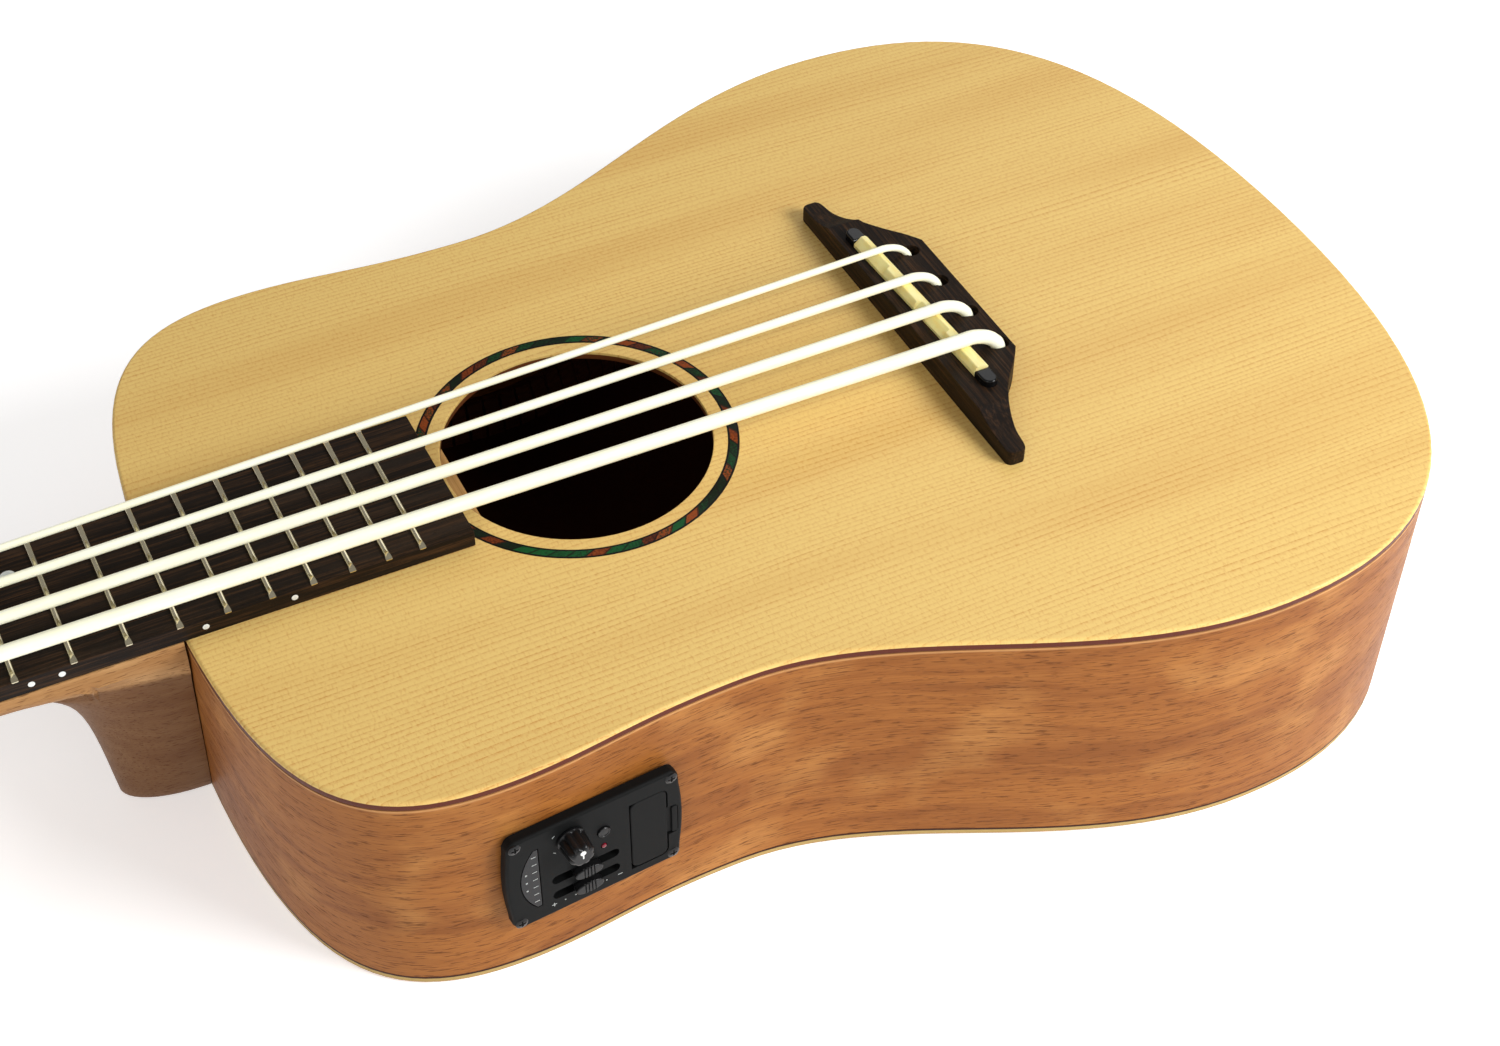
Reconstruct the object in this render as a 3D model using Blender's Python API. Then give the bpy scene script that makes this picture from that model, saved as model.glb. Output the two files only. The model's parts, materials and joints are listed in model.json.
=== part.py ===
# Bass ukulele with a side preamp, as an assembly of separate pieces.
# It is drawn in its own drawing frame, in metres: origin at the centre of the sound hole on the
# outer face of the top, +Y towards the head, +X towards the treble side, +Z out of the top.
# The instrument empty then turns and lifts it, so that the flat back lies level on z = 0.

import math

import bmesh
import bpy
from mathutils import Matrix, Vector
from mathutils.geometry import interpolate_bezier

# Clearances between neighbours
GAP = 0.0003
RUN_GAP = 0.0004
FACE_GAP = 0.0001

# How far cutting solids reach past the faces that they open
PAST = 0.0010
FAR_PAST = 0.0100

# Playing length, frets and neck
SCALE_LENGTH = 0.5300
FRET_COUNT = 20
JOINT_FRET = 14
NUT_WIDTH = 0.0450
BOARD_END_WIDTH = 0.0538
BOARD_THICKNESS = 0.0055
BOARD_END_TO_HOLE = 0.0024
FRET_WIDTH = 0.0022
FRET_HEIGHT = 0.0010
NUT_LENGTH = 0.0050
NUT_HEIGHT = 0.0092
NUT_SLOT_HEIGHT = 0.0073
NECK_DEPTH_AT_NUT = 0.0145
NECK_DEPTH_AT_HEEL = 0.0185
NECK_FLANK_AT_HEEL = 0.0115
NECK_FLANK_AT_NUT = 0.0030
HEEL_LENGTH = 0.0240
HEEL_BOTTOM_WIDTH = 0.0235
HEEL_LEAN = 0.0035
HEEL_SWEEP = 0.0240
HEEL_SWEEP_FADE = 9.0
HEEL_BLEND_LENGTH = 0.0300
TRUSS_ROD_WIDTH = 0.0054
TRUSS_ROD_DEPTH = 0.0084
TRUSS_ROD_LENGTH = 0.2600
TRUSS_ROD_TO_NUT = 0.0060

# Head and machine heads
HEAD_TILT = math.radians(12.0)
HEAD_LENGTH = 0.1500
HEAD_WIDTH_AT_FIRST_POSTS = 0.0720
HEAD_WIDTH_AT_END = 0.0560
HEAD_THICKNESS = 0.0150
HEAD_FLANK = 0.0015
HEAD_CORNER = 0.0120
HEAD_BLEND_LENGTH = 0.0300
VENEER_THICKNESS = 0.0015
VENEER_FROM_NUT = 0.0012
FIRST_POSTS_FROM_NUT = 0.0460
THROAT_TO_FIRST_POSTS = 0.0140
SECOND_POSTS_FROM_TIP = 0.0440
FIRST_POSTS_SPACING = 0.0460
SECOND_POSTS_SPACING = 0.0350
POST_RADIUS = 0.0045
POST_HEIGHT = 0.0160
POST_WAIST_RADIUS = 0.0040
POST_WAIST_LENGTH = 0.0098
POST_FOOT_RADIUS = 0.0026
POST_FOOT_LENGTH = 0.0016
POST_EDGE = 0.0006
TURNS_ABOVE_HEAD = 0.0022
PLATE_WIDTH = 0.0150
PLATE_THICKNESS = 0.0012
PLATE_PAST_WORM = 0.0090
PLATE_PAST_POST = 0.0120
GEAR_TEETH = 16
GEAR_MODULE = 0.00085
GEAR_THICKNESS = 0.0032
GEAR_DROP = 0.0050
GEAR_MESH_GAP = 0.00005
WORM_PITCH_RADIUS = 0.0026
WORM_LENGTH = 0.0100
WORM_SHAFT_RADIUS = 0.0017
WORM_SHAFT_END = 0.0023
EAR_THICKNESS = 0.0015
EAR_LENGTH = 0.0064
EAR_PAST_SHAFT = 0.0020
BUTTON_OFFSET = 0.0200
SHAFT_INTO_BUTTON = 0.0030
BUTTON_LENGTH = 0.0090
BUTTON_WIDTH = 0.0190
BUTTON_THICKNESS = 0.0072

# Body
BODY_LENGTH = 0.3786
HOLE_TO_JOINT = 0.1270
LOWER_BOUT_WIDTH = 0.2914
LOWER_BOUT_FROM_TAIL = 0.1009
WAIST_WIDTH = 0.2074
WAIST_FROM_TAIL = 0.2480
UPPER_BOUT_WIDTH = 0.2181
UPPER_BOUT_FROM_TAIL = 0.3175
DEPTH_AT_JOINT = 0.0787
DEPTH_AT_TAIL = 0.0901
TOP_THICKNESS = 0.0030
BACK_THICKNESS = 0.0030
SIDE_THICKNESS = 0.0024
LINING_HEIGHT = 0.0140
LINING_THICKNESS = 0.0055
NECK_BLOCK_WIDTH = 0.0600
NECK_BLOCK_LENGTH = 0.0400
TAIL_BLOCK_WIDTH = 0.0700
TAIL_BLOCK_LENGTH = 0.0180
BRACE_WIDTH = 0.0070
BRACE_TAPER = 0.0300
BRACE_END_HEIGHT = 0.0040
BRACE_END_CLEARANCE = 0.0010
TAIL_BRACE_TO_BLOCK = 0.0280
TAIL_BRACE_HEIGHT = 0.0080
UPPER_BACK_BRACE_FROM_JOINT = 0.0606
LOWER_BACK_BRACE_FROM_TAIL = 0.1060
LOWER_BRACE_TO_HOLE = 0.0140
TOP_BRACE_HEIGHT = 0.0100
BACK_BRACE_HEIGHT = 0.0120
PATCH_THICKNESS = 0.0025
PATCH_WIDTH = 0.0700
PATCH_LENGTH = 0.0295
PATCH_INTO_HOLE = 0.0045
SOUND_HOLE_RADIUS = 0.0402
ROSETTE_INNER_RADIUS = 0.0445
ROSETTE_OUTER_RADIUS = 0.0479
ROSETTE_DEPTH = 0.0012

# Handle lengths of the outline's four curves, as shares of each curve's own run
TAIL_FULLNESS = 0.759
LOWER_FLANK_FULLNESS = 0.605
LOWER_WAIST_LEAD = 0.401
LOWER_WAIST_FULLNESS = 0.327
UPPER_WAIST_FULLNESS = 0.480
UPPER_WAIST_LEAD = 0.331
SHOULDER_FULLNESS = 0.688
NECK_END_FULLNESS = 0.812

# Strings and bridge
STRING_NAMES = ("E", "A", "D", "G")
STRING_DIAMETERS = (0.0044, 0.0036, 0.0028, 0.0022)
NUT_STRING_SPACING = 0.0102
BRIDGE_STRING_SPACING = 0.0166
BRIDGE_AHEAD_OF_LINE = 0.0009
BRIDGE_LENGTH = 0.1310
BRIDGE_BLOCK_LENGTH = 0.0574
BRIDGE_SHOULDER_LENGTH = 0.0932
BRIDGE_DEPTH = 0.0240
BRIDGE_WING_DEPTH = 0.0062
BRIDGE_HEIGHT = 0.0090
BRIDGE_TIP_HEIGHT = 0.0050
SADDLE_LENGTH = 0.0700
SADDLE_THICKNESS = 0.0047
SADDLE_TOP = 0.0120
SADDLE_SET_BACK = 0.0043
SADDLE_SLANT = 0.0029
SADDLE_BEVEL_DEPTH = 0.0016
SADDLE_BEVEL_HEIGHT = 0.0018
SLOT_DEPTH = 0.0060
PLUG_LENGTH = 0.0055
PLUG_RISE = 0.0012
LEAD_FROM_SADDLE_END = 0.0040
PIEZO_THICKNESS = 0.0020
STRING_HOLE_RADIUS = 0.0026
STRING_HOLE_SET_BACK = 0.0195
STRING_HOLE_SLANT = 0.0026
BRIDGE_PLATE_THICKNESS = 0.0024
BRIDGE_PLATE_WIDTH = 0.1100
BRIDGE_PLATE_DEPTH = 0.0380
KNOT_RADIUS = 0.0042

# Preamp, in its own frame: u towards the tail, v up to the top, w outwards
PREAMP_FROM_HOLE = 0.0453
PREAMP_BELOW_TOP = 0.0395
PANEL_LENGTH = 0.0540
PANEL_HEIGHT = 0.0374
PANEL_THICKNESS = 0.0033
PANEL_END_BULGE = 0.0014
PANEL_CORNER = 0.0025
SLOT_CORNER = 0.0008
HOUSING_LENGTH = 0.0440
HOUSING_HEIGHT = 0.0300
HOUSING_DEPTH = 0.0240
HOUSING_WALL = 0.0013
KNOB_U = -0.0074
KNOB_V = 0.0109
KNOB_RADIUS = 0.0041
KNOB_TOP_RADIUS = 0.0034
KNOB_HEIGHT = 0.0078
KNOB_SKIRT_HEIGHT = 0.0016
KNOB_SHAFT_RADIUS = 0.0015
SLIDER_U = -0.0034
SLIDER_V = (-0.0044, -0.0110)
SLIDER_TRAVEL = 0.0125
SLIDER_SLOT_WIDTH = 0.0034
SLIDER_STEM_WIDTH = 0.0022
SLIDER_STEM_LENGTH = 0.0074
SLIDER_RAIL_THICKNESS = 0.0007
SLIDER_CAP_LENGTH = 0.0084
SLIDER_CAP_WIDTH = 0.0040
SLIDER_CAP_HEIGHT = 0.0016
KEY_U = 0.0025
KEY_V = 0.0072
KEY_RADIUS = 0.0014
KEY_PROUD = 0.0007
LAMP_U = 0.0024
LAMP_V = 0.0010
LAMP_RADIUS = 0.0008
LAMP_SEAT = 0.0006
WINDOW_U = -0.0197
WINDOW_WIDTH = 0.0056
WINDOW_HEIGHT = 0.0246
WINDOW_DEPTH = 0.0008
DOOR_U = 0.0164
DOOR_V = -0.0012
DOOR_WIDTH = 0.0113
DOOR_HEIGHT = 0.0277
DOOR_THICKNESS = 0.0016
DOOR_CORNER = 0.0024
TONGUE_WIDTH = 0.0034
TONGUE_HEIGHT = 0.0112
CELL_RADIUS = 0.0100
CELL_THICKNESS = 0.0032
CIRCUIT_THICKNESS = 0.0016
CIRCUIT_FROM_PANEL = 0.0095
CIRCUIT_SINK = 0.0005
POT_RADIUS = 0.0025
SWITCH_WIDTH = 0.0036
SWITCH_TO_KEY = 0.0006
PARTS_BELOW_PANEL = 0.0012
DOOR_SEAT_LEDGE = 0.0022
DOOR_HINGE_LEDGE = 0.0012
KNOB_SHAFT_DEPTH = 0.0060
SLIDER_STEM_DEPTH = 0.0040
CELL_BELOW_PANEL = 0.0022

# Output jack and inner leads
JACK_RADIUS = 0.0059
JACK_LENGTH = 0.0360
JACK_BORE_RADIUS = 0.0034
JACK_BORE_DEPTH = 0.0300
JACK_FLANGE_RADIUS = 0.0080
JACK_FLANGE_THICKNESS = 0.0014
JACK_FLANGE_SEAT = 0.0006
JACK_WAIST_RADIUS = 0.0061
JACK_RIM_RADIUS = 0.0076
JACK_KNOB_LENGTH = 0.0110
JACK_NUT_RADIUS = 0.0085
JACK_NUT_THICKNESS = 0.0030
LEAD_RADIUS = 0.0011

# Derived stations along the drawing frame's Y and heights along its Z
JOINT_Y = HOLE_TO_JOINT
TAIL_Y = JOINT_Y - BODY_LENGTH
NUT_Y = JOINT_Y + SCALE_LENGTH * (1.0 - 2.0 ** (-JOINT_FRET / 12.0))
BRIDGE_LINE_Y = NUT_Y - SCALE_LENGTH
BOARD_END_Y = SOUND_HOLE_RADIUS + BOARD_END_TO_HOLE
BOARD_BOTTOM = GAP
BOARD_TOP = BOARD_BOTTOM + BOARD_THICKNESS
BRIDGE_FRONT_Y = BRIDGE_LINE_Y + BRIDGE_AHEAD_OF_LINE
SADDLE_Y = BRIDGE_FRONT_Y - SADDLE_SET_BACK
HEAD_Y = NUT_Y + NUT_LENGTH + GAP
BACK_SLOPE = (DEPTH_AT_TAIL - DEPTH_AT_JOINT) / BODY_LENGTH
TOP_INSIDE = -TOP_THICKNESS
SIDE_TOP = TOP_INSIDE - GAP
GEAR_RADIUS = GEAR_TEETH * GEAR_MODULE / 2.0
GEAR_ADDENDUM = 0.8 * GEAR_MODULE
GEAR_DEDENDUM = 1.24 * GEAR_MODULE
WORM_LEAD = math.pi * GEAR_MODULE
WORM_OFFSET = GEAR_RADIUS + WORM_PITCH_RADIUS + GEAR_MESH_GAP
SECOND_POSTS_FROM_NUT = HEAD_LENGTH - SECOND_POSTS_FROM_TIP
POST_PLACES = (
    ("E", -1, FIRST_POSTS_FROM_NUT, FIRST_POSTS_SPACING / 2.0),
    ("A", -1, SECOND_POSTS_FROM_NUT, SECOND_POSTS_SPACING / 2.0),
    ("D", 1, SECOND_POSTS_FROM_NUT, SECOND_POSTS_SPACING / 2.0),
    ("G", 1, FIRST_POSTS_FROM_NUT, FIRST_POSTS_SPACING / 2.0),
)

COLOURS = {
    "spruce": ((0.78, 0.56, 0.27), 0.45, 0.0),
    "spruce_brace": ((0.70, 0.52, 0.30), 0.7, 0.0),
    "mahogany": ((0.36, 0.17, 0.08), 0.45, 0.0),
    "rosewood": ((0.035, 0.022, 0.018), 0.5, 0.0),
    "bone": ((0.85, 0.76, 0.50), 0.4, 0.0),
    "mosaic": ((0.05, 0.09, 0.05), 0.25, 0.0),
    "nickel": ((0.72, 0.70, 0.66), 0.25, 1.0),
    "steel": ((0.45, 0.46, 0.48), 0.35, 1.0),
    "brass": ((0.66, 0.50, 0.24), 0.35, 1.0),
    "string": ((0.88, 0.87, 0.66), 0.4, 0.0),
    "black_plastic": ((0.022, 0.022, 0.024), 0.5, 0.0),
    "gloss_black": ((0.012, 0.012, 0.014), 0.15, 0.0),
    "circuit": ((0.03, 0.16, 0.07), 0.5, 0.0),
    "red_lens": ((0.35, 0.02, 0.05), 0.2, 0.0),
    "lead_sleeve": ((0.03, 0.03, 0.03), 0.6, 0.0),
}
materials = {}


def material(name):
    if name not in materials:
        colour, roughness, metallic = COLOURS[name]
        made = bpy.data.materials.new(name)
        made.use_nodes = True
        shader = made.node_tree.nodes["Principled BSDF"]
        shader.inputs["Base Color"].default_value = (*colour, 1.0)
        shader.inputs["Roughness"].default_value = roughness
        shader.inputs["Metallic"].default_value = metallic
        materials[name] = made
    return materials[name]


def remove_old_objects():
    for old in list(bpy.data.objects):
        bpy.data.objects.remove(old, do_unlink=True)


def empty(name, parent=None, matrix=None):
    made = bpy.data.objects.new(name, None)
    bpy.context.scene.collection.objects.link(made)
    made.parent = parent
    if matrix is not None:
        made.matrix_basis = matrix
    return made


def finish(name, bm, material_name, parent, matrix=None, smooth_angle=30.0):
    """Turn a bmesh into a named object under its parent."""
    bmesh.ops.recalc_face_normals(bm, faces=bm.faces)
    mesh = bpy.data.meshes.new(name)
    bm.to_mesh(mesh)
    bm.free()
    mesh.shade_smooth()
    mesh.set_sharp_from_angle(angle=math.radians(smooth_angle))
    made = bpy.data.objects.new(name, mesh)
    bpy.context.scene.collection.objects.link(made)
    made.parent = parent
    if matrix is not None:
        made.matrix_basis = matrix
    made.data.materials.append(material(material_name))
    return made


def combine(target, cutter_bm, name, operation="DIFFERENCE"):
    """Keep a Boolean on the target; the tool solid stays out of the model."""
    tool = finish(name, cutter_bm, "steel", target.parent, target.matrix_basis.copy())
    tool.hide_render = True
    tool.display_type = "WIRE"
    modifier = target.modifiers.new(name, "BOOLEAN")
    modifier.operation = operation
    modifier.solver = "EXACT"
    modifier.object = tool
    return modifier


def loft(bm, rings, closed=False):
    """Skin rings of equally many points; open lofts get flat end faces."""
    loops = [[bm.verts.new(point) for point in ring] for ring in rings]
    count = len(rings[0])
    pairs = list(zip(loops, loops[1:]))
    if closed:
        pairs.append((loops[-1], loops[0]))
    for first, second in pairs:
        for i in range(count):
            j = (i + 1) % count
            bm.faces.new((first[i], first[j], second[j], second[i]))
    if not closed:
        bm.faces.new(loops[0][::-1])
        bm.faces.new(loops[-1])
    return bm


def prism(bm, outline, low, high):
    """Upright prism on an XY outline; low and high are heights or functions of (x, y)."""
    low_at = low if callable(low) else (lambda x, y: low)
    high_at = high if callable(high) else (lambda x, y: high)
    bottom = [(x, y, low_at(x, y)) for x, y in outline]
    top = [(x, y, high_at(x, y)) for x, y in outline]
    return loft(bm, [bottom, top])


def block(bm, low, high):
    outline = [(low[0], low[1]), (high[0], low[1]), (high[0], high[1]), (low[0], high[1])]
    return prism(bm, outline, low[2], high[2])


def circle(radius, count, centre=(0.0, 0.0), phase=0.0):
    step = math.tau / count
    return [(centre[0] + radius * math.cos(phase + i * step),
             centre[1] + radius * math.sin(phase + i * step)) for i in range(count)]


def disc(bm, centre, radius, low, high, count=12):
    return prism(bm, circle(radius, count, centre), low, high)


def turned(bm, profile, count, matrix=None):
    """Turn a closed (radius, height) profile about Z; no point may sit on the axis."""
    rings = []
    for i in range(count):
        angle = math.tau * i / count
        ring = [Vector((r * math.cos(angle), r * math.sin(angle), z)) for r, z in profile]
        rings.append([matrix @ p for p in ring] if matrix else ring)
    return loft(bm, rings, closed=True)


def stack(bm, levels, count, matrix=None, phase=0.0):
    """Round solid from (radius, height) levels, with flat ends."""
    rings = []
    for radius, height in levels:
        ring = [Vector((x, y, height)) for x, y in circle(radius, count, phase=phase)]
        rings.append([matrix @ p for p in ring] if matrix else ring)
    return loft(bm, rings)


def rounded_rectangle(length, height, radius, centre=(0.0, 0.0), steps=3):
    points = []
    corners = ((1, 1, 0.0), (-1, 1, 90.0), (-1, -1, 180.0), (1, -1, 270.0))
    for sx, sy, start in corners:
        cx = centre[0] + sx * (length / 2.0 - radius)
        cy = centre[1] + sy * (height / 2.0 - radius)
        for i in range(steps + 1):
            angle = math.radians(start + 90.0 * i / steps)
            points.append((cx + radius * math.cos(angle), cy + radius * math.sin(angle)))
    return points


def cord(bm, points, radius, count=10):
    """Round cord along a line of points, with flat ends; radius is one value or one for each point."""
    path = [Vector(p) for p in points]
    radii = radius if isinstance(radius, list) else [radius] * len(path)
    side = None
    rings = []
    for i, point in enumerate(path):
        before = path[max(i - 1, 0)]
        after = path[min(i + 1, len(path) - 1)]
        into = (point - before).normalized() if i > 0 else (after - point).normalized()
        out = (after - point).normalized() if i < len(path) - 1 else into
        along = (into + out).normalized()
        if side is None:
            side = along.orthogonal().normalized()
        side = (side - along * side.dot(along)).normalized()
        other = along.cross(side)
        widen = 1.0 / max(along.dot(into), 0.5)
        bend = (out - into)
        axis = bend.normalized() if bend.length > 1e-6 else side
        ring = []
        for k in range(count):
            angle = math.tau * k / count
            spoke = (side * math.cos(angle) + other * math.sin(angle)) * radii[i]
            spoke += axis * spoke.dot(axis) * (widen - 1.0)
            ring.append(point + spoke)
        rings.append(ring)
    return loft(bm, rings)


def smooth_route(controls, count):
    """Points at even steps along a smooth curve through the control points."""
    knots = [Vector(p) for p in controls]
    fine = []
    for i in range(len(knots) - 1):
        before = knots[max(i - 1, 0)]
        after = knots[min(i + 2, len(knots) - 1)]
        first_handle = knots[i] + (knots[i + 1] - before) / 6.0
        second_handle = knots[i + 1] - (after - knots[i]) / 6.0
        fine += interpolate_bezier(knots[i], first_handle, second_handle, knots[i + 1], 24)[:-1]
    fine.append(knots[-1])
    lengths = [0.0]
    for a, b in zip(fine, fine[1:]):
        lengths.append(lengths[-1] + (b - a).length)
    route = []
    k = 0
    for i in range(count):
        want = lengths[-1] * i / (count - 1)
        while k < len(fine) - 2 and lengths[k + 1] < want:
            k += 1
        span = max(lengths[k + 1] - lengths[k], 1e-9)
        route.append(fine[k].lerp(fine[k + 1], min((want - lengths[k]) / span, 1.0)))
    return route


def back_outside(x, y):
    return -(DEPTH_AT_JOINT + BACK_SLOPE * (JOINT_Y - y))


def back_inside(x, y):
    return back_outside(x, y) + BACK_THICKNESS


def side_bottom(x, y):
    return back_inside(x, y) + GAP


def fret_y(number):
    return NUT_Y - SCALE_LENGTH * (1.0 - 2.0 ** (-number / 12.0))


def board_half_width(y):
    share = (NUT_Y - y) / (NUT_Y - BOARD_END_Y)
    return (NUT_WIDTH + (BOARD_END_WIDTH - NUT_WIDTH) * share) / 2.0


def half_outline():
    """Treble half of the body's outline, from the tail's centre round to the neck end's centre."""
    lower_y = TAIL_Y + LOWER_BOUT_FROM_TAIL
    waist_y = TAIL_Y + WAIST_FROM_TAIL
    upper_y = TAIL_Y + UPPER_BOUT_FROM_TAIL
    lower = LOWER_BOUT_WIDTH / 2.0
    waist = WAIST_WIDTH / 2.0
    upper = UPPER_BOUT_WIDTH / 2.0
    run_tail = lower_y - TAIL_Y
    run_lower = waist_y - lower_y
    run_upper = upper_y - waist_y
    run_neck = JOINT_Y - upper_y
    curves = (
        ((0.0, TAIL_Y), (lower * TAIL_FULLNESS, TAIL_Y),
         (lower, lower_y - run_tail * LOWER_FLANK_FULLNESS), (lower, lower_y), 10),
        ((lower, lower_y), (lower, lower_y + run_lower * LOWER_WAIST_LEAD),
         (waist, waist_y - run_lower * LOWER_WAIST_FULLNESS), (waist, waist_y), 8),
        ((waist, waist_y), (waist, waist_y + run_upper * UPPER_WAIST_FULLNESS),
         (upper, upper_y - run_upper * UPPER_WAIST_LEAD), (upper, upper_y), 6),
        ((upper, upper_y), (upper, upper_y + run_neck * SHOULDER_FULLNESS),
         (upper * NECK_END_FULLNESS, JOINT_Y), (0.0, JOINT_Y), 12),
    )
    points = []
    for start, first, second, end, steps in curves:
        corners = [Vector((x, y)) for x, y in (start, first, second, end)]
        points += interpolate_bezier(*corners, steps + 1)[:-1]
    points.append(Vector((0.0, JOINT_Y)))
    return points


def inset(points, distance):
    """Half outline moved inwards by a wall, its ends kept on the centre line."""
    moved = []
    for i, point in enumerate(points):
        before = points[max(i - 1, 0)]
        after = points[min(i + 1, len(points) - 1)]
        along = (after - before).normalized()
        if i in (0, len(points) - 1):
            along = Vector((1.0 if i == 0 else -1.0, 0.0))
        moved.append(point + Vector((-along.y, along.x)) * distance)
    return moved


def mirrored(points):
    return [Vector((-p.x, p.y)) for p in points]


def full_outline(half):
    return half + mirrored(half[1:-1])[::-1]


def half_width_at(half, y):
    """Widest treble half width of a half outline at one station."""
    for a, b in zip(half, half[1:]):
        if min(a.y, b.y) <= y <= max(a.y, b.y) and abs(b.y - a.y) > 1e-9:
            return a.x + (b.x - a.x) * (y - a.y) / (b.y - a.y)
    return half[0].x


OUTLINE = half_outline()
SIDE_INSIDE = inset(OUTLINE, SIDE_THICKNESS)
LINING_OUTSIDE = inset(OUTLINE, SIDE_THICKNESS + GAP)
LINING_INSIDE = inset(OUTLINE, SIDE_THICKNESS + GAP + LINING_THICKNESS)


def string_x(index, y):
    """Sideways place of a string at one station, from the nut to the saddle."""
    place = index - (len(STRING_NAMES) - 1) / 2.0
    share = (NUT_Y - y) / (NUT_Y - SADDLE_Y)
    return place * (NUT_STRING_SPACING + (BRIDGE_STRING_SPACING - NUT_STRING_SPACING) * share)


def saddle_line_y(x):
    """Station of the slanted saddle's front face."""
    return SADDLE_Y + SADDLE_SLANT * x / SADDLE_LENGTH


def string_hole(index):
    x = string_x(index, SADDLE_Y)
    spread = BRIDGE_STRING_SPACING * (len(STRING_NAMES) - 1)
    return x, BRIDGE_FRONT_Y - STRING_HOLE_SET_BACK + STRING_HOLE_SLANT * x / spread


def preamp_matrix():
    """Frame of the preamp on the bass side: X towards the tail, Y up, Z outwards."""
    y = PREAMP_FROM_HOLE
    half = half_width_at(OUTLINE[8:], y)
    reach = PANEL_LENGTH / 2.0
    ahead = half_width_at(OUTLINE[8:], y + reach)
    behind = half_width_at(OUTLINE[8:], y - reach)
    along = Vector((ahead - behind, -2.0 * reach, 0.0)).normalized()
    up = Vector((0.0, 0.0, 1.0))
    out = along.cross(up)
    centre = Vector((-half, y, -PREAMP_BELOW_TOP))
    crown = max(out.dot(Vector((-p.x, p.y, centre.z)) - centre)
                for p in OUTLINE if abs(p.y - y) < reach + 0.004)
    centre += out * (crown + GAP)
    matrix = Matrix.Identity(4)
    for column, axis in enumerate((along, up, out)):
        matrix.col[column][:3] = axis
    matrix.translation = centre
    return matrix


def head_matrix():
    """Frame of the tilted head: its front face is z = 0 and the nut's back edge is y = 0."""
    return Matrix.Translation((0.0, HEAD_Y, 0.0)) @ Matrix.Rotation(-HEAD_TILT, 4, "X")


def instrument_matrix():
    """Turns the drawing frame so that the back is level on z = 0 under the body's middle."""
    turn = Matrix.Rotation(-math.atan(BACK_SLOPE), 4, "X")
    middle_y = (JOINT_Y + TAIL_Y) / 2.0
    foot = turn @ Vector((0.0, middle_y, back_outside(0.0, middle_y)))
    return Matrix.Translation(-foot) @ turn


def build_top(parent):
    bm = prism(bmesh.new(), full_outline(OUTLINE), TOP_INSIDE, 0.0)
    top = finish("soundboard", bm, "spruce", parent)
    cut = bmesh.new()
    low = TOP_INSIDE - FAR_PAST
    disc(cut, (0.0, 0.0), SOUND_HOLE_RADIUS, low, FAR_PAST, 44)
    for index in range(len(STRING_NAMES)):
        disc(cut, string_hole(index), STRING_HOLE_RADIUS, low, FAR_PAST, 10)
    disc(cut, lead_hole(), LEAD_RADIUS + GAP, low, FAR_PAST, 8)
    combine(top, cut, "cut_soundboard_holes")
    channel = turned(bmesh.new(), (
        (ROSETTE_INNER_RADIUS - GAP, PAST), (ROSETTE_OUTER_RADIUS + GAP, PAST),
        (ROSETTE_OUTER_RADIUS + GAP, -ROSETTE_DEPTH - GAP),
        (ROSETTE_INNER_RADIUS - GAP, -ROSETTE_DEPTH - GAP)), 48)
    combine(top, channel, "cut_rosette_channel")
    ring = turned(bmesh.new(), (
        (ROSETTE_INNER_RADIUS, 0.0), (ROSETTE_OUTER_RADIUS, 0.0),
        (ROSETTE_OUTER_RADIUS, -ROSETTE_DEPTH), (ROSETTE_INNER_RADIUS, -ROSETTE_DEPTH)), 48)
    finish("rosette", ring, "mosaic", parent)


def build_back(parent):
    bm = prism(bmesh.new(), full_outline(OUTLINE), back_outside, back_inside)
    finish("back_plate", bm, "mahogany", parent)


def wall_strip(bm, outer, inner, low, high):
    """Upright wall between two matching half outlines."""
    low_at = low if callable(low) else (lambda x, y: low)
    high_at = high if callable(high) else (lambda x, y: high)
    sections = []
    for a, b in zip(outer, inner):
        sections.append([(a.x, a.y, low_at(a.x, a.y)), (b.x, b.y, low_at(b.x, b.y)),
                         (b.x, b.y, high_at(b.x, b.y)), (a.x, a.y, high_at(a.x, a.y))])
    return loft(bm, sections)


def build_sides(parent):
    for name, sign in (("side_bass", -1.0), ("side_treble", 1.0)):
        outer = [Vector((max(p.x, GAP / 2.0) * sign, p.y)) for p in OUTLINE]
        inner = [Vector((max(p.x, GAP / 2.0) * sign, p.y)) for p in SIDE_INSIDE]
        bm = wall_strip(bmesh.new(), outer, inner, side_bottom, SIDE_TOP)
        side = finish(name, bm, "mahogany", parent)
        cut = bmesh.new()
        stack(cut, ((JACK_RADIUS + GAP, -FAR_PAST), (JACK_RADIUS + GAP, FAR_PAST)), 16, jack_matrix())
        combine(side, cut, "cut_" + name + "_jack")
        if name == "side_bass":
            local = preamp_matrix()
            cut = bmesh.new()
            half_u = HOUSING_LENGTH / 2.0 + GAP
            half_v = HOUSING_HEIGHT / 2.0 + GAP
            block(cut, (-half_u, -half_v, -HOUSING_DEPTH / 2.0), (half_u, half_v, HOUSING_DEPTH / 2.0))
            bmesh.ops.transform(cut, matrix=local, verts=cut.verts)
            combine(side, cut, "cut_side_preamp")


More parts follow.
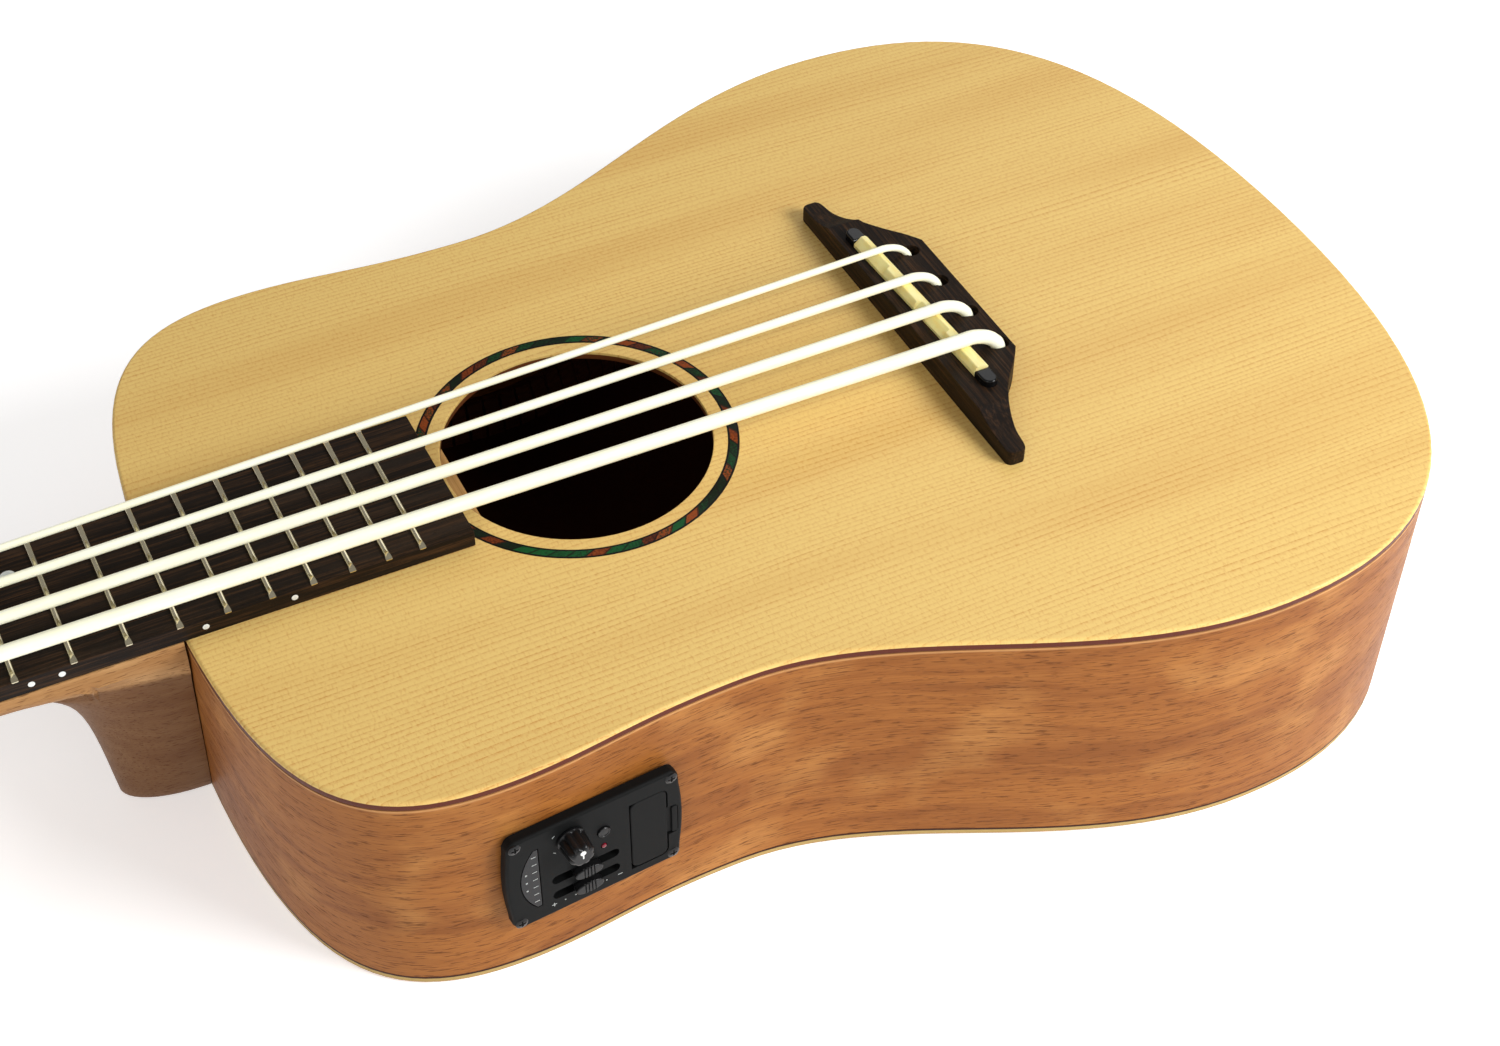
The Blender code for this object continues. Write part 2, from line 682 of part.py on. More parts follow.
def build_linings(parent):
    clear_neck = NECK_BLOCK_WIDTH / 2.0 + GAP
    clear_tail = TAIL_BLOCK_WIDTH / 2.0 + GAP
    keep = [i for i, p in enumerate(LINING_INSIDE)
            if p.x > (clear_tail if p.y < 0.0 else clear_neck) + 0.001]
    outer = [LINING_OUTSIDE[i] for i in keep]
    inner = [LINING_INSIDE[i] for i in keep]
    for name, flip in (("treble", list), ("bass", mirrored)):
        bm = wall_strip(bmesh.new(), flip(outer), flip(inner), SIDE_TOP - LINING_HEIGHT, SIDE_TOP)
        finish("top_lining_" + name, bm, "spruce_brace", parent)
        bm = wall_strip(bmesh.new(), flip(outer), flip(inner), side_bottom,
                        lambda x, y: side_bottom(x, y) + LINING_HEIGHT)
        finish("back_lining_" + name, bm, "spruce_brace", parent)


def build_blocks(parent):
    wall = SIDE_THICKNESS + GAP
    half = NECK_BLOCK_WIDTH / 2.0
    face = JOINT_Y - wall - (JOINT_Y - max(p.y for p in OUTLINE if p.x >= half))
    rear = face - NECK_BLOCK_LENGTH
    outline = [(-half, rear), (half, rear), (half, face), (-half, face)]
    finish("neck_block", prism(bmesh.new(), outline, side_bottom, SIDE_TOP), "mahogany", parent)
    half = TAIL_BLOCK_WIDTH / 2.0
    face = min(p.y for p in OUTLINE if p.x >= half) + wall
    inside = face + TAIL_BLOCK_LENGTH
    outline = [(-half, face), (half, face), (half, inside), (-half, inside)]
    tail = finish("tail_block", prism(bmesh.new(), outline, side_bottom, SIDE_TOP), "mahogany", parent)
    low = TAIL_Y - inside - FAR_PAST
    cut = stack(bmesh.new(), ((JACK_RADIUS + GAP, low), (JACK_RADIUS + GAP, FAR_PAST)), 16, jack_matrix())
    combine(tail, cut, "cut_tail_block_jack")
    return inside


def cross_brace(name, y, height, material_name, parent, on_back=False):
    """Brace across the body with tapered ends that stop short of the linings."""
    sides = (y - BRACE_WIDTH / 2.0, y, y + BRACE_WIDTH / 2.0)
    reach = min(half_width_at(LINING_INSIDE[8:], side) for side in sides) - BRACE_END_CLEARANCE
    shoulder = reach - BRACE_TAPER
    rings = []
    for station in (y - BRACE_WIDTH / 2.0, y + BRACE_WIDTH / 2.0):
        base = side_bottom(0.0, station) if on_back else TOP_INSIDE - GAP
        rise = height if on_back else -height
        end_rise = math.copysign(BRACE_END_HEIGHT, rise)
        rings.append([(x, station, base + lift) for x, lift in (
            (-reach, 0.0), (reach, 0.0), (reach, end_rise), (shoulder, rise), (-shoulder, rise),
            (-reach, end_rise))])
    finish(name, loft(bmesh.new(), rings), material_name, parent)


def build_braces(parent, block_inside):
    wood = "spruce_brace"
    under_top = TOP_INSIDE - GAP
    patch_tail = SOUND_HOLE_RADIUS - PATCH_INTO_HOLE
    patch_end = patch_tail + PATCH_LENGTH
    brace_y = patch_end + GAP + BRACE_WIDTH / 2.0
    cross_brace("upper_brace", brace_y, TOP_BRACE_HEIGHT, wood, parent)
    brace_y = -(SOUND_HOLE_RADIUS + LOWER_BRACE_TO_HOLE)
    cross_brace("lower_brace", brace_y, TOP_BRACE_HEIGHT, wood, parent)
    brace_y = JOINT_Y - UPPER_BACK_BRACE_FROM_JOINT
    cross_brace("back_brace_upper", brace_y, BACK_BRACE_HEIGHT, wood, parent, on_back=True)
    brace_y = TAIL_Y + LOWER_BACK_BRACE_FROM_TAIL
    cross_brace("back_brace_lower", brace_y, BACK_BRACE_HEIGHT, wood, parent, on_back=True)

    half = BRACE_WIDTH / 2.0
    plate_tail = bridge_plate_y() - BRIDGE_PLATE_DEPTH / 2.0
    bm = block(bmesh.new(), (-half, block_inside + TAIL_BRACE_TO_BLOCK, under_top - TAIL_BRACE_HEIGHT),
               (half, plate_tail - GAP, under_top))
    finish("tail_brace", bm, wood, parent)
    half = PATCH_WIDTH / 2.0
    bm = block(bmesh.new(), (-half, patch_tail, under_top - PATCH_THICKNESS), (half, patch_end, under_top))
    finish("fingerboard_patch", bm, wood, parent)


def build_bridge_plate(parent):
    under_top = TOP_INSIDE - GAP
    half_width = BRIDGE_PLATE_WIDTH / 2.0
    tail = bridge_plate_y() - BRIDGE_PLATE_DEPTH / 2.0
    low = under_top - BRIDGE_PLATE_THICKNESS
    bm = block(bmesh.new(), (-half_width, tail, low), (half_width, tail + BRIDGE_PLATE_DEPTH, under_top))
    plate = finish("bridge_plate", bm, "mahogany", parent)
    cut = bmesh.new()
    for index in range(len(STRING_NAMES)):
        disc(cut, string_hole(index), STRING_HOLE_RADIUS, low - FAR_PAST, FAR_PAST, 10)
    disc(cut, lead_hole(), LEAD_RADIUS + GAP, low - FAR_PAST, FAR_PAST, 8)
    combine(plate, cut, "cut_bridge_plate_holes")


def bridge_plate_y():
    return BRIDGE_FRONT_Y - BRIDGE_DEPTH / 2.0


def lead_hole():
    """Where the pickup's lead goes down through the bridge and the top."""
    x = SADDLE_LENGTH / 2.0 - LEAD_FROM_SADDLE_END
    return x, saddle_line_y(x) - SADDLE_THICKNESS / 2.0


def neck_section(y, half, depth, flank, heel_share, joint_side):
    """Underside of the neck at one station, from treble edge round to bass edge."""
    steps = 9
    sharp = 2.0 + 5.0 * heel_share
    full = depth_at_joint()
    points = []
    for i in range(steps + 1):
        angle = math.radians(90.0) * i / steps
        x = half * math.cos(angle) ** (2.0 / sharp) if i < steps else 0.0
        z = -(flank + (depth - flank) * math.sin(angle) ** (2.0 / sharp))
        pinch = 1.0 - (1.0 - HEEL_BOTTOM_WIDTH / (2.0 * half)) * (-z - flank) / (full - flank)
        share = min((y - joint_side) / max(nose_reach(-z) - joint_side, 1e-6), 1.0)
        plan = max(1.0 - share ** 2.2, 0.0) ** (1.0 / 2.2)
        fade = min(max((-z - flank) / (NECK_DEPTH_AT_HEEL - flank), 0.0), 1.0)
        shaped = pinch * (1.0 - (1.0 - plan) * fade)
        points.append((x * (1.0 + heel_share * (shaped - 1.0)), z))
    right = [(half, 0.0)] + points
    left = [(-x, z) for x, z in points[:-1]][::-1] + [(-half, 0.0)]
    return [Vector((x, y, z)) for x, z in right + left]


def head_section(along):
    """Section of the head at one station of its own frame, matching the neck's sections."""
    steps = 9
    half = head_half_width(along)
    high = -VENEER_THICKNESS - GAP
    blend = min(max(along / HEAD_BLEND_LENGTH, 0.0), 1.0)
    sharp = 2.6 + 14.0 * blend * blend
    flank = high - HEAD_FLANK
    points = []
    for i in range(steps + 1):
        angle = math.radians(90.0) * i / steps
        x = half * math.cos(angle) ** (2.0 / sharp) if i < steps else 0.0
        points.append((x, flank - (HEAD_THICKNESS + flank) * math.sin(angle) ** (2.0 / sharp)))
    right = [(half, high)] + points
    left = [(-x, z) for x, z in points[:-1]][::-1] + [(-half, high)]
    local = head_matrix()
    return [local @ Vector((x, along, z)) for x, z in right + left]


def head_half_width(along):
    """Half width of the head at one station of its own frame."""
    nut_half = NUT_WIDTH / 2.0
    wide = HEAD_WIDTH_AT_FIRST_POSTS / 2.0
    end = HEAD_WIDTH_AT_END / 2.0
    throat = FIRST_POSTS_FROM_NUT - THROAT_TO_FIRST_POSTS
    start = 0.004
    if along < throat:
        share = min(max((along - start) / (throat - start), 0.0), 1.0)
        return nut_half + (wide - nut_half) * share * share * (3.0 - 2.0 * share)
    taper = (along - throat) / (HEAD_LENGTH - throat)
    half = wide + (end - wide) * taper
    into = max(along - (HEAD_LENGTH - HEAD_CORNER), 0.0) / (HEAD_CORNER * 1.04)
    return half * math.sqrt(max(1.0 - into * into, 0.0))


def head_stations(start):
    """Stations of the head, closer together where its outline bends."""
    throat = [0.006, 0.010, 0.014, 0.018, 0.022, 0.027, 0.032, 0.070]
    tip = [HEAD_LENGTH - HEAD_CORNER * share for share in (1.0, 0.71, 0.42, 0.2, 0.07, 0.0)]
    return [start] + throat + tip


def depth_at_joint():
    return -back_outside(0.0, JOINT_Y)


def nose_reach(depth):
    """How far from the joint the heel's nose stands at one depth."""
    share = (depth - NECK_DEPTH_AT_HEEL) / (depth_at_joint() - NECK_DEPTH_AT_HEEL)
    share = min(max(share, 0.0), 1.0)
    start = JOINT_Y + GAP
    lean = HEEL_LENGTH + HEEL_LEAN * (1.0 - share)
    sweep = HEEL_SWEEP * math.exp(-share * HEEL_SWEEP_FADE)
    return start + lean + sweep


def heel_depth(y):
    """Depth of the neck's centre line below its top face at one station."""
    shaft = NECK_DEPTH_AT_HEEL + (NECK_DEPTH_AT_NUT - NECK_DEPTH_AT_HEEL) * (
        (y - JOINT_Y) / (NUT_Y - JOINT_Y))
    low, high = shaft, depth_at_joint()
    floor = -back_outside(0.0, y) - GAP
    if y <= nose_reach(high):
        return floor
    if y >= nose_reach(NECK_DEPTH_AT_HEEL):
        return shaft
    for _ in range(40):
        middle = (low + high) / 2.0
        if nose_reach(middle) > y:
            low = middle
        else:
            high = middle
    return max(min(low, floor), shaft)


def build_neck(parent):
    start = JOINT_Y + GAP
    nose = nose_reach(depth_at_joint()) - start
    heel_stations = [share * nose for share in (0.0, 0.35, 0.65, 0.85, 0.96, 1.0)]
    sweep = (0.04, 0.087, 0.14, 0.207, 0.307, 0.467, 0.7, 1.0)
    sweep_stations = [nose + share * HEEL_BLEND_LENGTH for share in sweep]
    far = NUT_Y + NUT_LENGTH - start
    shaft_stations = [0.34 * far, 0.60 * far, 0.82 * far, far]
    rings = []
    for station in heel_stations + sweep_stations + shaft_stations:
        y = start + station
        along = (y - start) / (NUT_Y - start)
        flank = NECK_FLANK_AT_HEEL + (NECK_FLANK_AT_NUT - NECK_FLANK_AT_HEEL) * min(along * 1.6, 1.0)
        heel_share = 1.0 - min(max((station - nose) / HEEL_BLEND_LENGTH, 0.0), 1.0)
        heel_share = heel_share * heel_share * (3.0 - 2.0 * heel_share)
        depth = heel_depth(y)
        rings.append(neck_section(y, board_half_width(min(y, NUT_Y)), depth, flank, heel_share, start))
    rings += [head_section(along) for along in head_stations(0.0008)]
    neck = finish("neck", loft(bmesh.new(), rings), "mahogany", parent)
    rod_end = NUT_Y - TRUSS_ROD_TO_NUT
    rod_start = rod_end - TRUSS_ROD_LENGTH
    half = TRUSS_ROD_WIDTH / 2.0
    cut = block(bmesh.new(), (-half - GAP, rod_start - GAP, -TRUSS_ROD_DEPTH - 2.0 * GAP),
                (half + GAP, rod_end + GAP, FAR_PAST))
    combine(neck, cut, "cut_truss_rod_channel")
    cut = bmesh.new()
    local = head_matrix()
    for name, side, along, across in POST_PLACES:
        hole = circle(POST_RADIUS + RUN_GAP, 20, (side * across, along))
        ends = (-HEAD_THICKNESS - FAR_PAST, FAR_PAST)
        loft(cut, [[local @ Vector((x, y, z)) for x, y in hole] for z in ends])
    combine(neck, cut, "cut_post_holes")
    bm = block(bmesh.new(), (-half, rod_start, -TRUSS_ROD_DEPTH - GAP), (half, rod_end, -GAP))
    finish("truss_rod", bm, "steel", parent)


def head_outline(start):
    """Head's outline in its own frame, from the given station to its tip."""
    right = [(head_half_width(along), along) for along in head_stations(start)]
    return right + [(-x, y) for x, y in right][::-1]


def build_head_veneer(head):
    bm = prism(bmesh.new(), head_outline(VENEER_FROM_NUT), -VENEER_THICKNESS, 0.0)
    veneer = finish("headstock_veneer", bm, "rosewood", head)
    cut = bmesh.new()
    for name, side, along, across in POST_PLACES:
        disc(cut, (side * across, along), POST_RADIUS + RUN_GAP, -FAR_PAST, FAR_PAST, 20)
    combine(veneer, cut, "cut_veneer_holes")


def build_fingerboard(parent):
    """Board with its fret crowns, as one side profile drawn out across the neck's taper."""
    crown = ((-0.5, 0.0), (-0.38, 0.7), (0.0, 1.0), (0.38, 0.7), (0.5, 0.0))
    end_y = NUT_Y - GAP
    profile = [(BOARD_END_Y, BOARD_BOTTOM), (BOARD_END_Y, BOARD_TOP)]
    for number in range(FRET_COUNT, 0, -1):
        y = fret_y(number)
        profile += [(y + share * FRET_WIDTH, BOARD_TOP + rise * FRET_HEIGHT) for share, rise in crown]
    profile += [(end_y, BOARD_TOP), (end_y, BOARD_BOTTOM)]
    rings = [[(sign * board_half_width(y), y, z) for y, z in profile] for sign in (-1.0, 1.0)]
    finish("fingerboard", loft(bmesh.new(), rings), "rosewood", parent)


def build_nut(parent):
    low = GAP
    profile = [(-NUT_WIDTH / 2.0, low), (NUT_WIDTH / 2.0, low), (NUT_WIDTH / 2.0, NUT_HEIGHT)]
    for index in range(len(STRING_NAMES) - 1, -1, -1):
        radius = STRING_DIAMETERS[index] / 2.0 + GAP
        x = string_x(index, NUT_Y)
        z = NUT_SLOT_HEIGHT + STRING_DIAMETERS[index] / 2.0
        corner = radius * math.tan(math.radians(22.5))
        profile += [(x + radius, NUT_HEIGHT), (x + radius, z - corner), (x + corner, z - radius),
                    (x - corner, z - radius), (x - radius, z - corner), (x - radius, NUT_HEIGHT)]
    profile.append((-NUT_WIDTH / 2.0, NUT_HEIGHT))
    rings = [[(x, y, z) for x, z in profile] for y in (NUT_Y, NUT_Y + NUT_LENGTH)]
    finish("nut", loft(bmesh.new(), rings), "bone", parent)


def bridge_half_outline():
    """Treble half of the bridge's outline, from the rear's centre to the front's centre."""
    rear = BRIDGE_FRONT_Y - BRIDGE_DEPTH
    wing = BRIDGE_FRONT_Y - BRIDGE_WING_DEPTH
    block_half = BRIDGE_BLOCK_LENGTH / 2.0
    shoulder = BRIDGE_SHOULDER_LENGTH / 2.0
    tip = BRIDGE_LENGTH / 2.0
    run = wing - rear
    return [(0.0, rear), (block_half, rear), (block_half + 0.28 * (shoulder - block_half), rear + 0.21 * run),
            (block_half + 0.63 * (shoulder - block_half), rear + 0.52 * run), (shoulder, rear + 0.77 * run),
            (shoulder + 0.5 * (tip - shoulder), rear + 0.93 * run), (tip, wing), (tip, BRIDGE_FRONT_Y),
            (shoulder, BRIDGE_FRONT_Y), (0.0, BRIDGE_FRONT_Y)]


def bridge_top(x, y):
    shoulder = BRIDGE_SHOULDER_LENGTH / 2.0
    tip = BRIDGE_LENGTH / 2.0
    share = min(max((abs(x) - shoulder) / (tip - shoulder), 0.0), 1.0)
    return BRIDGE_HEIGHT - (BRIDGE_HEIGHT - BRIDGE_TIP_HEIGHT) * share


def slot_outline(length, width):
    """Slanted slot with round ends, following the saddle's line."""
    points = []
    for x, y in rounded_rectangle(length, width, width / 2.0 * 0.98, steps=3):
        points.append((x, y + saddle_line_y(x) - SADDLE_THICKNESS / 2.0))
    return points


def build_bridge(parent):
    half = bridge_half_outline()
    shoulder = BRIDGE_SHOULDER_LENGTH / 2.0
    slot_floor = BRIDGE_HEIGHT - SLOT_DEPTH
    middle = [p for p in half if p[0] <= shoulder]
    right = [p for p in half if p[0] >= shoulder]
    left = [(-x, y) for x, y in right][::-1]
    body = middle[1:] + [(-x, y) for x, y in middle[1:-1]][::-1]
    bm = prism(bmesh.new(), [p for p in body if p[0] != 0.0], GAP, BRIDGE_HEIGHT)
    bridge = finish("bridge", bm, "rosewood", parent)
    wings = bmesh.new()
    for outline in (right, left):
        rooted = []
        for x, y in outline:
            inwards = PAST if abs(abs(x) - shoulder) < 1e-6 else 0.0
            rooted.append((x - math.copysign(inwards, x), y))
        prism(wings, rooted, GAP, bridge_top)
    combine(bridge, wings, "join_bridge_wings", "UNION")
    slot_length = SADDLE_LENGTH + 2.0 * PLUG_LENGTH + 4.0 * GAP
    outline = slot_outline(slot_length, SADDLE_THICKNESS + 2.0 * GAP)
    slot = prism(bmesh.new(), outline, slot_floor, BRIDGE_HEIGHT + FAR_PAST)
    combine(bridge, slot, "cut_saddle_slot")
    holes = bmesh.new()
    for index in range(len(STRING_NAMES)):
        disc(holes, string_hole(index), STRING_HOLE_RADIUS, -FAR_PAST, BRIDGE_HEIGHT + FAR_PAST, 10)
    disc(holes, lead_hole(), LEAD_RADIUS + GAP, -FAR_PAST, slot_floor + PAST, 8)
    combine(bridge, holes, "cut_bridge_holes")
    ways = bmesh.new()
    for index in range(len(STRING_NAMES)):
        cord(ways, string_route(index)[4:], STRING_DIAMETERS[index] / 2.0 + GAP, 12)
    combine(bridge, ways, "cut_bridge_string_ways")


def build_saddle(parent):
    """Saddle on its pickup strip, with a plug at each end of their slot."""
    strip_low = BRIDGE_HEIGHT - SLOT_DEPTH + GAP
    strip_top = strip_low + PIEZO_THICKNESS
    half_length = SADDLE_LENGTH / 2.0
    saddle_rings = []
    strip_rings = []
    for x in (-half_length, half_length):
        front = saddle_line_y(x)
        rear = front - SADDLE_THICKNESS
        saddle_rings.append([
            (x, front, strip_top + GAP), (x, front, SADDLE_TOP - SADDLE_BEVEL_HEIGHT),
            (x, front - SADDLE_BEVEL_DEPTH, SADDLE_TOP), (x, rear, SADDLE_TOP), (x, rear, strip_top + GAP)])
        strip_rings.append([(x, front - GAP, strip_low), (x, front - GAP, strip_top),
                            (x, rear + GAP, strip_top), (x, rear + GAP, strip_low)])
    finish("saddle", loft(bmesh.new(), saddle_rings), "bone", parent)
    finish("pickup_strip", loft(bmesh.new(), strip_rings), "brass", parent)

    inner = half_length + GAP
    wide = SADDLE_THICKNESS / 2.0
    corners = ((0.0, 1.0), (0.45, 1.0), (0.8, 0.8), (0.93, 0.35))
    edge = [(inner + share * PLUG_LENGTH, side * wide) for share, side in corners]
    outline = [(x, -y) for x, y in edge] + edge[::-1]
    for name, sign in (("saddle_plug_bass", -1.0), ("saddle_plug_treble", 1.0)):
        middle_y = saddle_line_y(sign * inner) - wide
        slant = sign * SADDLE_SLANT / SADDLE_LENGTH
        placed = [(sign * x, middle_y + y + slant * (x - inner)) for x, y in outline]
        finish(name, prism(bmesh.new(), placed, strip_low, BRIDGE_HEIGHT + PLUG_RISE), "gloss_black", parent)


def winding_height(index):
    """Height of a string's middle where it meets its post, above the head's front face."""
    return TURNS_ABOVE_HEAD + STRING_DIAMETERS[index] / 2.0


def string_route(index):
    radius = STRING_DIAMETERS[index] / 2.0
    name, side, along, across = POST_PLACES[index]
    local = head_matrix()
    wrap = POST_WAIST_RADIUS + GAP + radius
    post_end = local @ Vector((side * (across - wrap), along, winding_height(index)))
    nut_z = NUT_SLOT_HEIGHT + radius
    nut_x = string_x(index, NUT_Y)
    head_side = Vector((nut_x, NUT_Y + NUT_LENGTH, nut_z))
    front = Vector((nut_x, NUT_Y, nut_z))
    saddle_z = SADDLE_TOP + GAP + radius
    saddle_x = string_x(index, SADDLE_Y)
    line = saddle_line_y(saddle_x)
    hole_x, hole_y = string_hole(index)
    crest = Vector((saddle_x, line - SADDLE_BEVEL_DEPTH, saddle_z))
    leave = Vector((saddle_x, line - SADDLE_THICKNESS - GAP, saddle_z))
    drop = hole_y - leave.y
    bend = [Vector((hole_x, leave.y + drop * share, saddle_z + fall)) for share, fall in (
        (0.38, -0.0012), (0.66, -0.0030), (0.86, -0.0056), (0.97, -0.0092))]
    down = Vector((hole_x, hole_y, BRIDGE_HEIGHT - 0.0070))
    end = Vector((hole_x, hole_y, TOP_INSIDE - BRIDGE_PLATE_THICKNESS - 2.0 * GAP))
    return [post_end, head_side, front, crest, leave] + bend + [down, end]


def build_strings(parent):
    """Each string with the knot that holds it under the bridge plate."""
    local = head_matrix()
    for index, name in enumerate(STRING_NAMES):
        radius = STRING_DIAMETERS[index] / 2.0
        route = string_route(index)
        radii = [radius] * len(route)
        knot_top = route[-1]
        for drop, share in ((0.03, 0.75), (0.4, 1.0), (1.0, 1.0), (1.5, 0.7)):
            route.append(knot_top - Vector((0.0, 0.0, drop * KNOT_RADIUS)))
            radii.append(share * KNOT_RADIUS)
        string = finish("string_" + name, cord(bmesh.new(), route, radii, 12), "string", parent)
        post_name, side, along, across = POST_PLACES[index]
        reach = POST_WAIST_RADIUS + 2.0 * GAP + STRING_DIAMETERS[index]
        turns = circle(reach, 24, (side * across, along))
        rings = [[local @ Vector((x, y, z)) for x, y in turns] for z in (-TURNS_ABOVE_HEAD, POST_HEIGHT)]
        combine(string, loft(bmesh.new(), rings), "cut_string_end_" + name)


def post_solid():
    """Post with its waist, from below the gear to its top."""
    waist_low = TURNS_ABOVE_HEAD - GAP
    waist_high = waist_low + POST_WAIST_LENGTH
    foot = -HEAD_THICKNESS - GEAR_DROP - GEAR_THICKNESS / 2.0
    below = foot - POST_FOOT_LENGTH + RUN_GAP / 2.0
    return stack(bmesh.new(), (
        (POST_FOOT_RADIUS, below), (POST_FOOT_RADIUS, foot + RUN_GAP / 2.0), (POST_RADIUS, foot + RUN_GAP),
        (POST_RADIUS, waist_low), (POST_WAIST_RADIUS, waist_low + FACE_GAP), (POST_WAIST_RADIUS, waist_high),
        (POST_RADIUS, waist_high + POST_EDGE), (POST_RADIUS, POST_HEIGHT - POST_EDGE),
        (POST_RADIUS - POST_EDGE, POST_HEIGHT)), 20)


def gear_solid():
    """Toothed wheel around the post; its teeth follow the worm's lead."""
    root = GEAR_RADIUS - GEAR_DEDENDUM
    tip = GEAR_RADIUS + GEAR_ADDENDUM
    half_tip, half_root = 0.045, 0.135
    pitch_angle = math.tau / GEAR_TEETH
    rings = []
    for z in (-GEAR_THICKNESS / 2.0, GEAR_THICKNESS / 2.0):
        twist = WORM_LEAD * z / (math.tau * WORM_PITCH_RADIUS) / GEAR_RADIUS
        ring = []
        for tooth in range(GEAR_TEETH):
            middle = math.radians(-90.0) + tooth * pitch_angle + twist
            for radius, offset in ((root, -half_root), (tip, -half_tip), (tip, half_tip), (root, half_root)):
                ring.append((radius * math.cos(middle + offset), radius * math.sin(middle + offset),
                             z - HEAD_THICKNESS - GEAR_DROP))
        rings.append(ring)
    return loft(bmesh.new(), rings)


def worm_solid():
    """Worm and shaft along X; a groove's middle faces the gear at x = 0."""
    count = 10
    outer = WORM_PITCH_RADIUS + GEAR_ADDENDUM
    reach = round(WORM_LENGTH / 2.0 / WORM_LEAD * count)
    bm = bmesh.new()
    loops = []
    places = [-WORM_LENGTH / 2.0 - WORM_SHAFT_END]
    places += [i * WORM_LEAD / count for i in range(-reach, reach + 1)]
    places.append(BUTTON_OFFSET + SHAFT_INTO_BUTTON)
    for k, x in enumerate(places):
        i = k - 1 - reach
        loop = []
        for j in range(count):
            phase = (i - j - count // 2) % count
            inside = 2 <= k <= len(places) - 3
            radius = outer if inside and phase in (count - 1, 0, 1) else WORM_SHAFT_RADIUS
            angle = math.tau * j / count
            loop.append(bm.verts.new((x, radius * math.cos(angle), radius * math.sin(angle))))
        loops.append(loop)
    for first, second in zip(loops, loops[1:]):
        for j in range(count):
            n = (j + 1) % count
            bm.faces.new((first[j], second[j], second[n]))
            bm.faces.new((first[j], second[n], first[n]))
    bm.faces.new(loops[0][::-1])
    bm.faces.new(loops[-1])
    return bm


def button_solid():
    """Finger button around the end of the worm's shaft, thinner where it is narrower."""
    rings = []
    for share, wide in ((0.0, 0.30), (0.12, 0.42), (0.35, 0.86), (0.65, 1.0), (0.9, 0.94), (1.0, 0.80)):
        x = BUTTON_OFFSET + BUTTON_LENGTH * share
        half_y = BUTTON_WIDTH / 2.0 * wide
        flatter = BUTTON_THICKNESS / BUTTON_WIDTH * (0.45 + 0.55 / wide)
        rings.append([(x, y, z * flatter) for y, z in circle(half_y, 16)])
    return loft(bmesh.new(), rings)


def flipped(bm, side):
    if side < 0:
        bmesh.ops.transform(bm, matrix=Matrix.Scale(-1.0, 4, (1.0, 0.0, 0.0)), verts=bm.verts)
        bmesh.ops.reverse_faces(bm, faces=bm.faces)
    return bm


def tuner_plate(name, head, place):
    """Plate under the head, with the two ears that carry the worm's shaft."""
    plate_top = -HEAD_THICKNESS - GAP
    plate_low = plate_top - PLATE_THICKNESS
    shaft_z = -HEAD_THICKNESS - GEAR_DROP
    half = PLATE_WIDTH / 2.0
    bm = block(bmesh.new(), (-half, -WORM_OFFSET - PLATE_PAST_WORM, plate_low),
               (half, PLATE_PAST_POST, plate_top))
    plate = finish("tuner_plate_" + name, bm, "nickel", head, place)
    ears = bmesh.new()
    near = WORM_LENGTH / 2.0 + GAP
    far = near + EAR_THICKNESS
    ear_low = shaft_z - WORM_SHAFT_RADIUS - EAR_PAST_SHAFT
    for left, right in ((-far, -near), (near, far)):
        block(ears, (left, -WORM_OFFSET - EAR_LENGTH / 2.0, ear_low),
              (right, -WORM_OFFSET + EAR_LENGTH / 2.0, plate_top - RUN_GAP))
    combine(plate, ears, "join_ears_" + name, "UNION")
    holes = disc(bmesh.new(), (0.0, 0.0), POST_RADIUS + RUN_GAP, plate_low - PAST, plate_top + PAST, 20)
    shaft = circle(WORM_SHAFT_RADIUS + RUN_GAP, 12, (-WORM_OFFSET, shaft_z))
    loft(holes, [[(x, y, z) for y, z in shaft] for x in (-far - PAST, far + PAST)])
    combine(plate, holes, "cut_plate_holes_" + name)


def build_tuners(head):
    """Four machine heads: plate with its bearings, post with its gear, worm with its button."""
    for name, side, along, across in POST_PLACES:
        place = Matrix.Translation((side * across, along, 0.0))
        worm_place = Matrix.Translation((side * across, along - WORM_OFFSET, -HEAD_THICKNESS - GEAR_DROP))
        tuner_plate(name, head, place)
        post = finish("tuner_post_" + name, post_solid(), "nickel", head, place)
        combine(post, flipped(gear_solid(), side), "join_gear_" + name, "UNION")
        button = finish("tuner_button_" + name, flipped(worm_solid(), side), "nickel", head, worm_place)
        combine(button, flipped(button_solid(), side), "join_button_" + name, "UNION")


def panel_outline():
    """Rounded rectangle whose two ends bow outwards a little."""
    half = PANEL_LENGTH / 2.0
    points = rounded_rectangle(PANEL_LENGTH - 2.0 * PANEL_END_BULGE, PANEL_HEIGHT, PANEL_CORNER)
    bowed = []
    for i, (x, y) in enumerate(points):
        bowed.append((x, y))
        after = points[(i + 1) % len(points)]
        if abs(after[0] - x) < 1e-6 and abs(after[1] - y) > PANEL_HEIGHT / 2.0:
            for share in (0.2, 0.4, 0.6, 0.8):
                level = y + (after[1] - y) * share
                bulge = PANEL_END_BULGE * (1.0 - (2.0 * share - 1.0) ** 2)
                bowed.append((math.copysign(half - PANEL_END_BULGE + bulge, x), level))
    return bowed


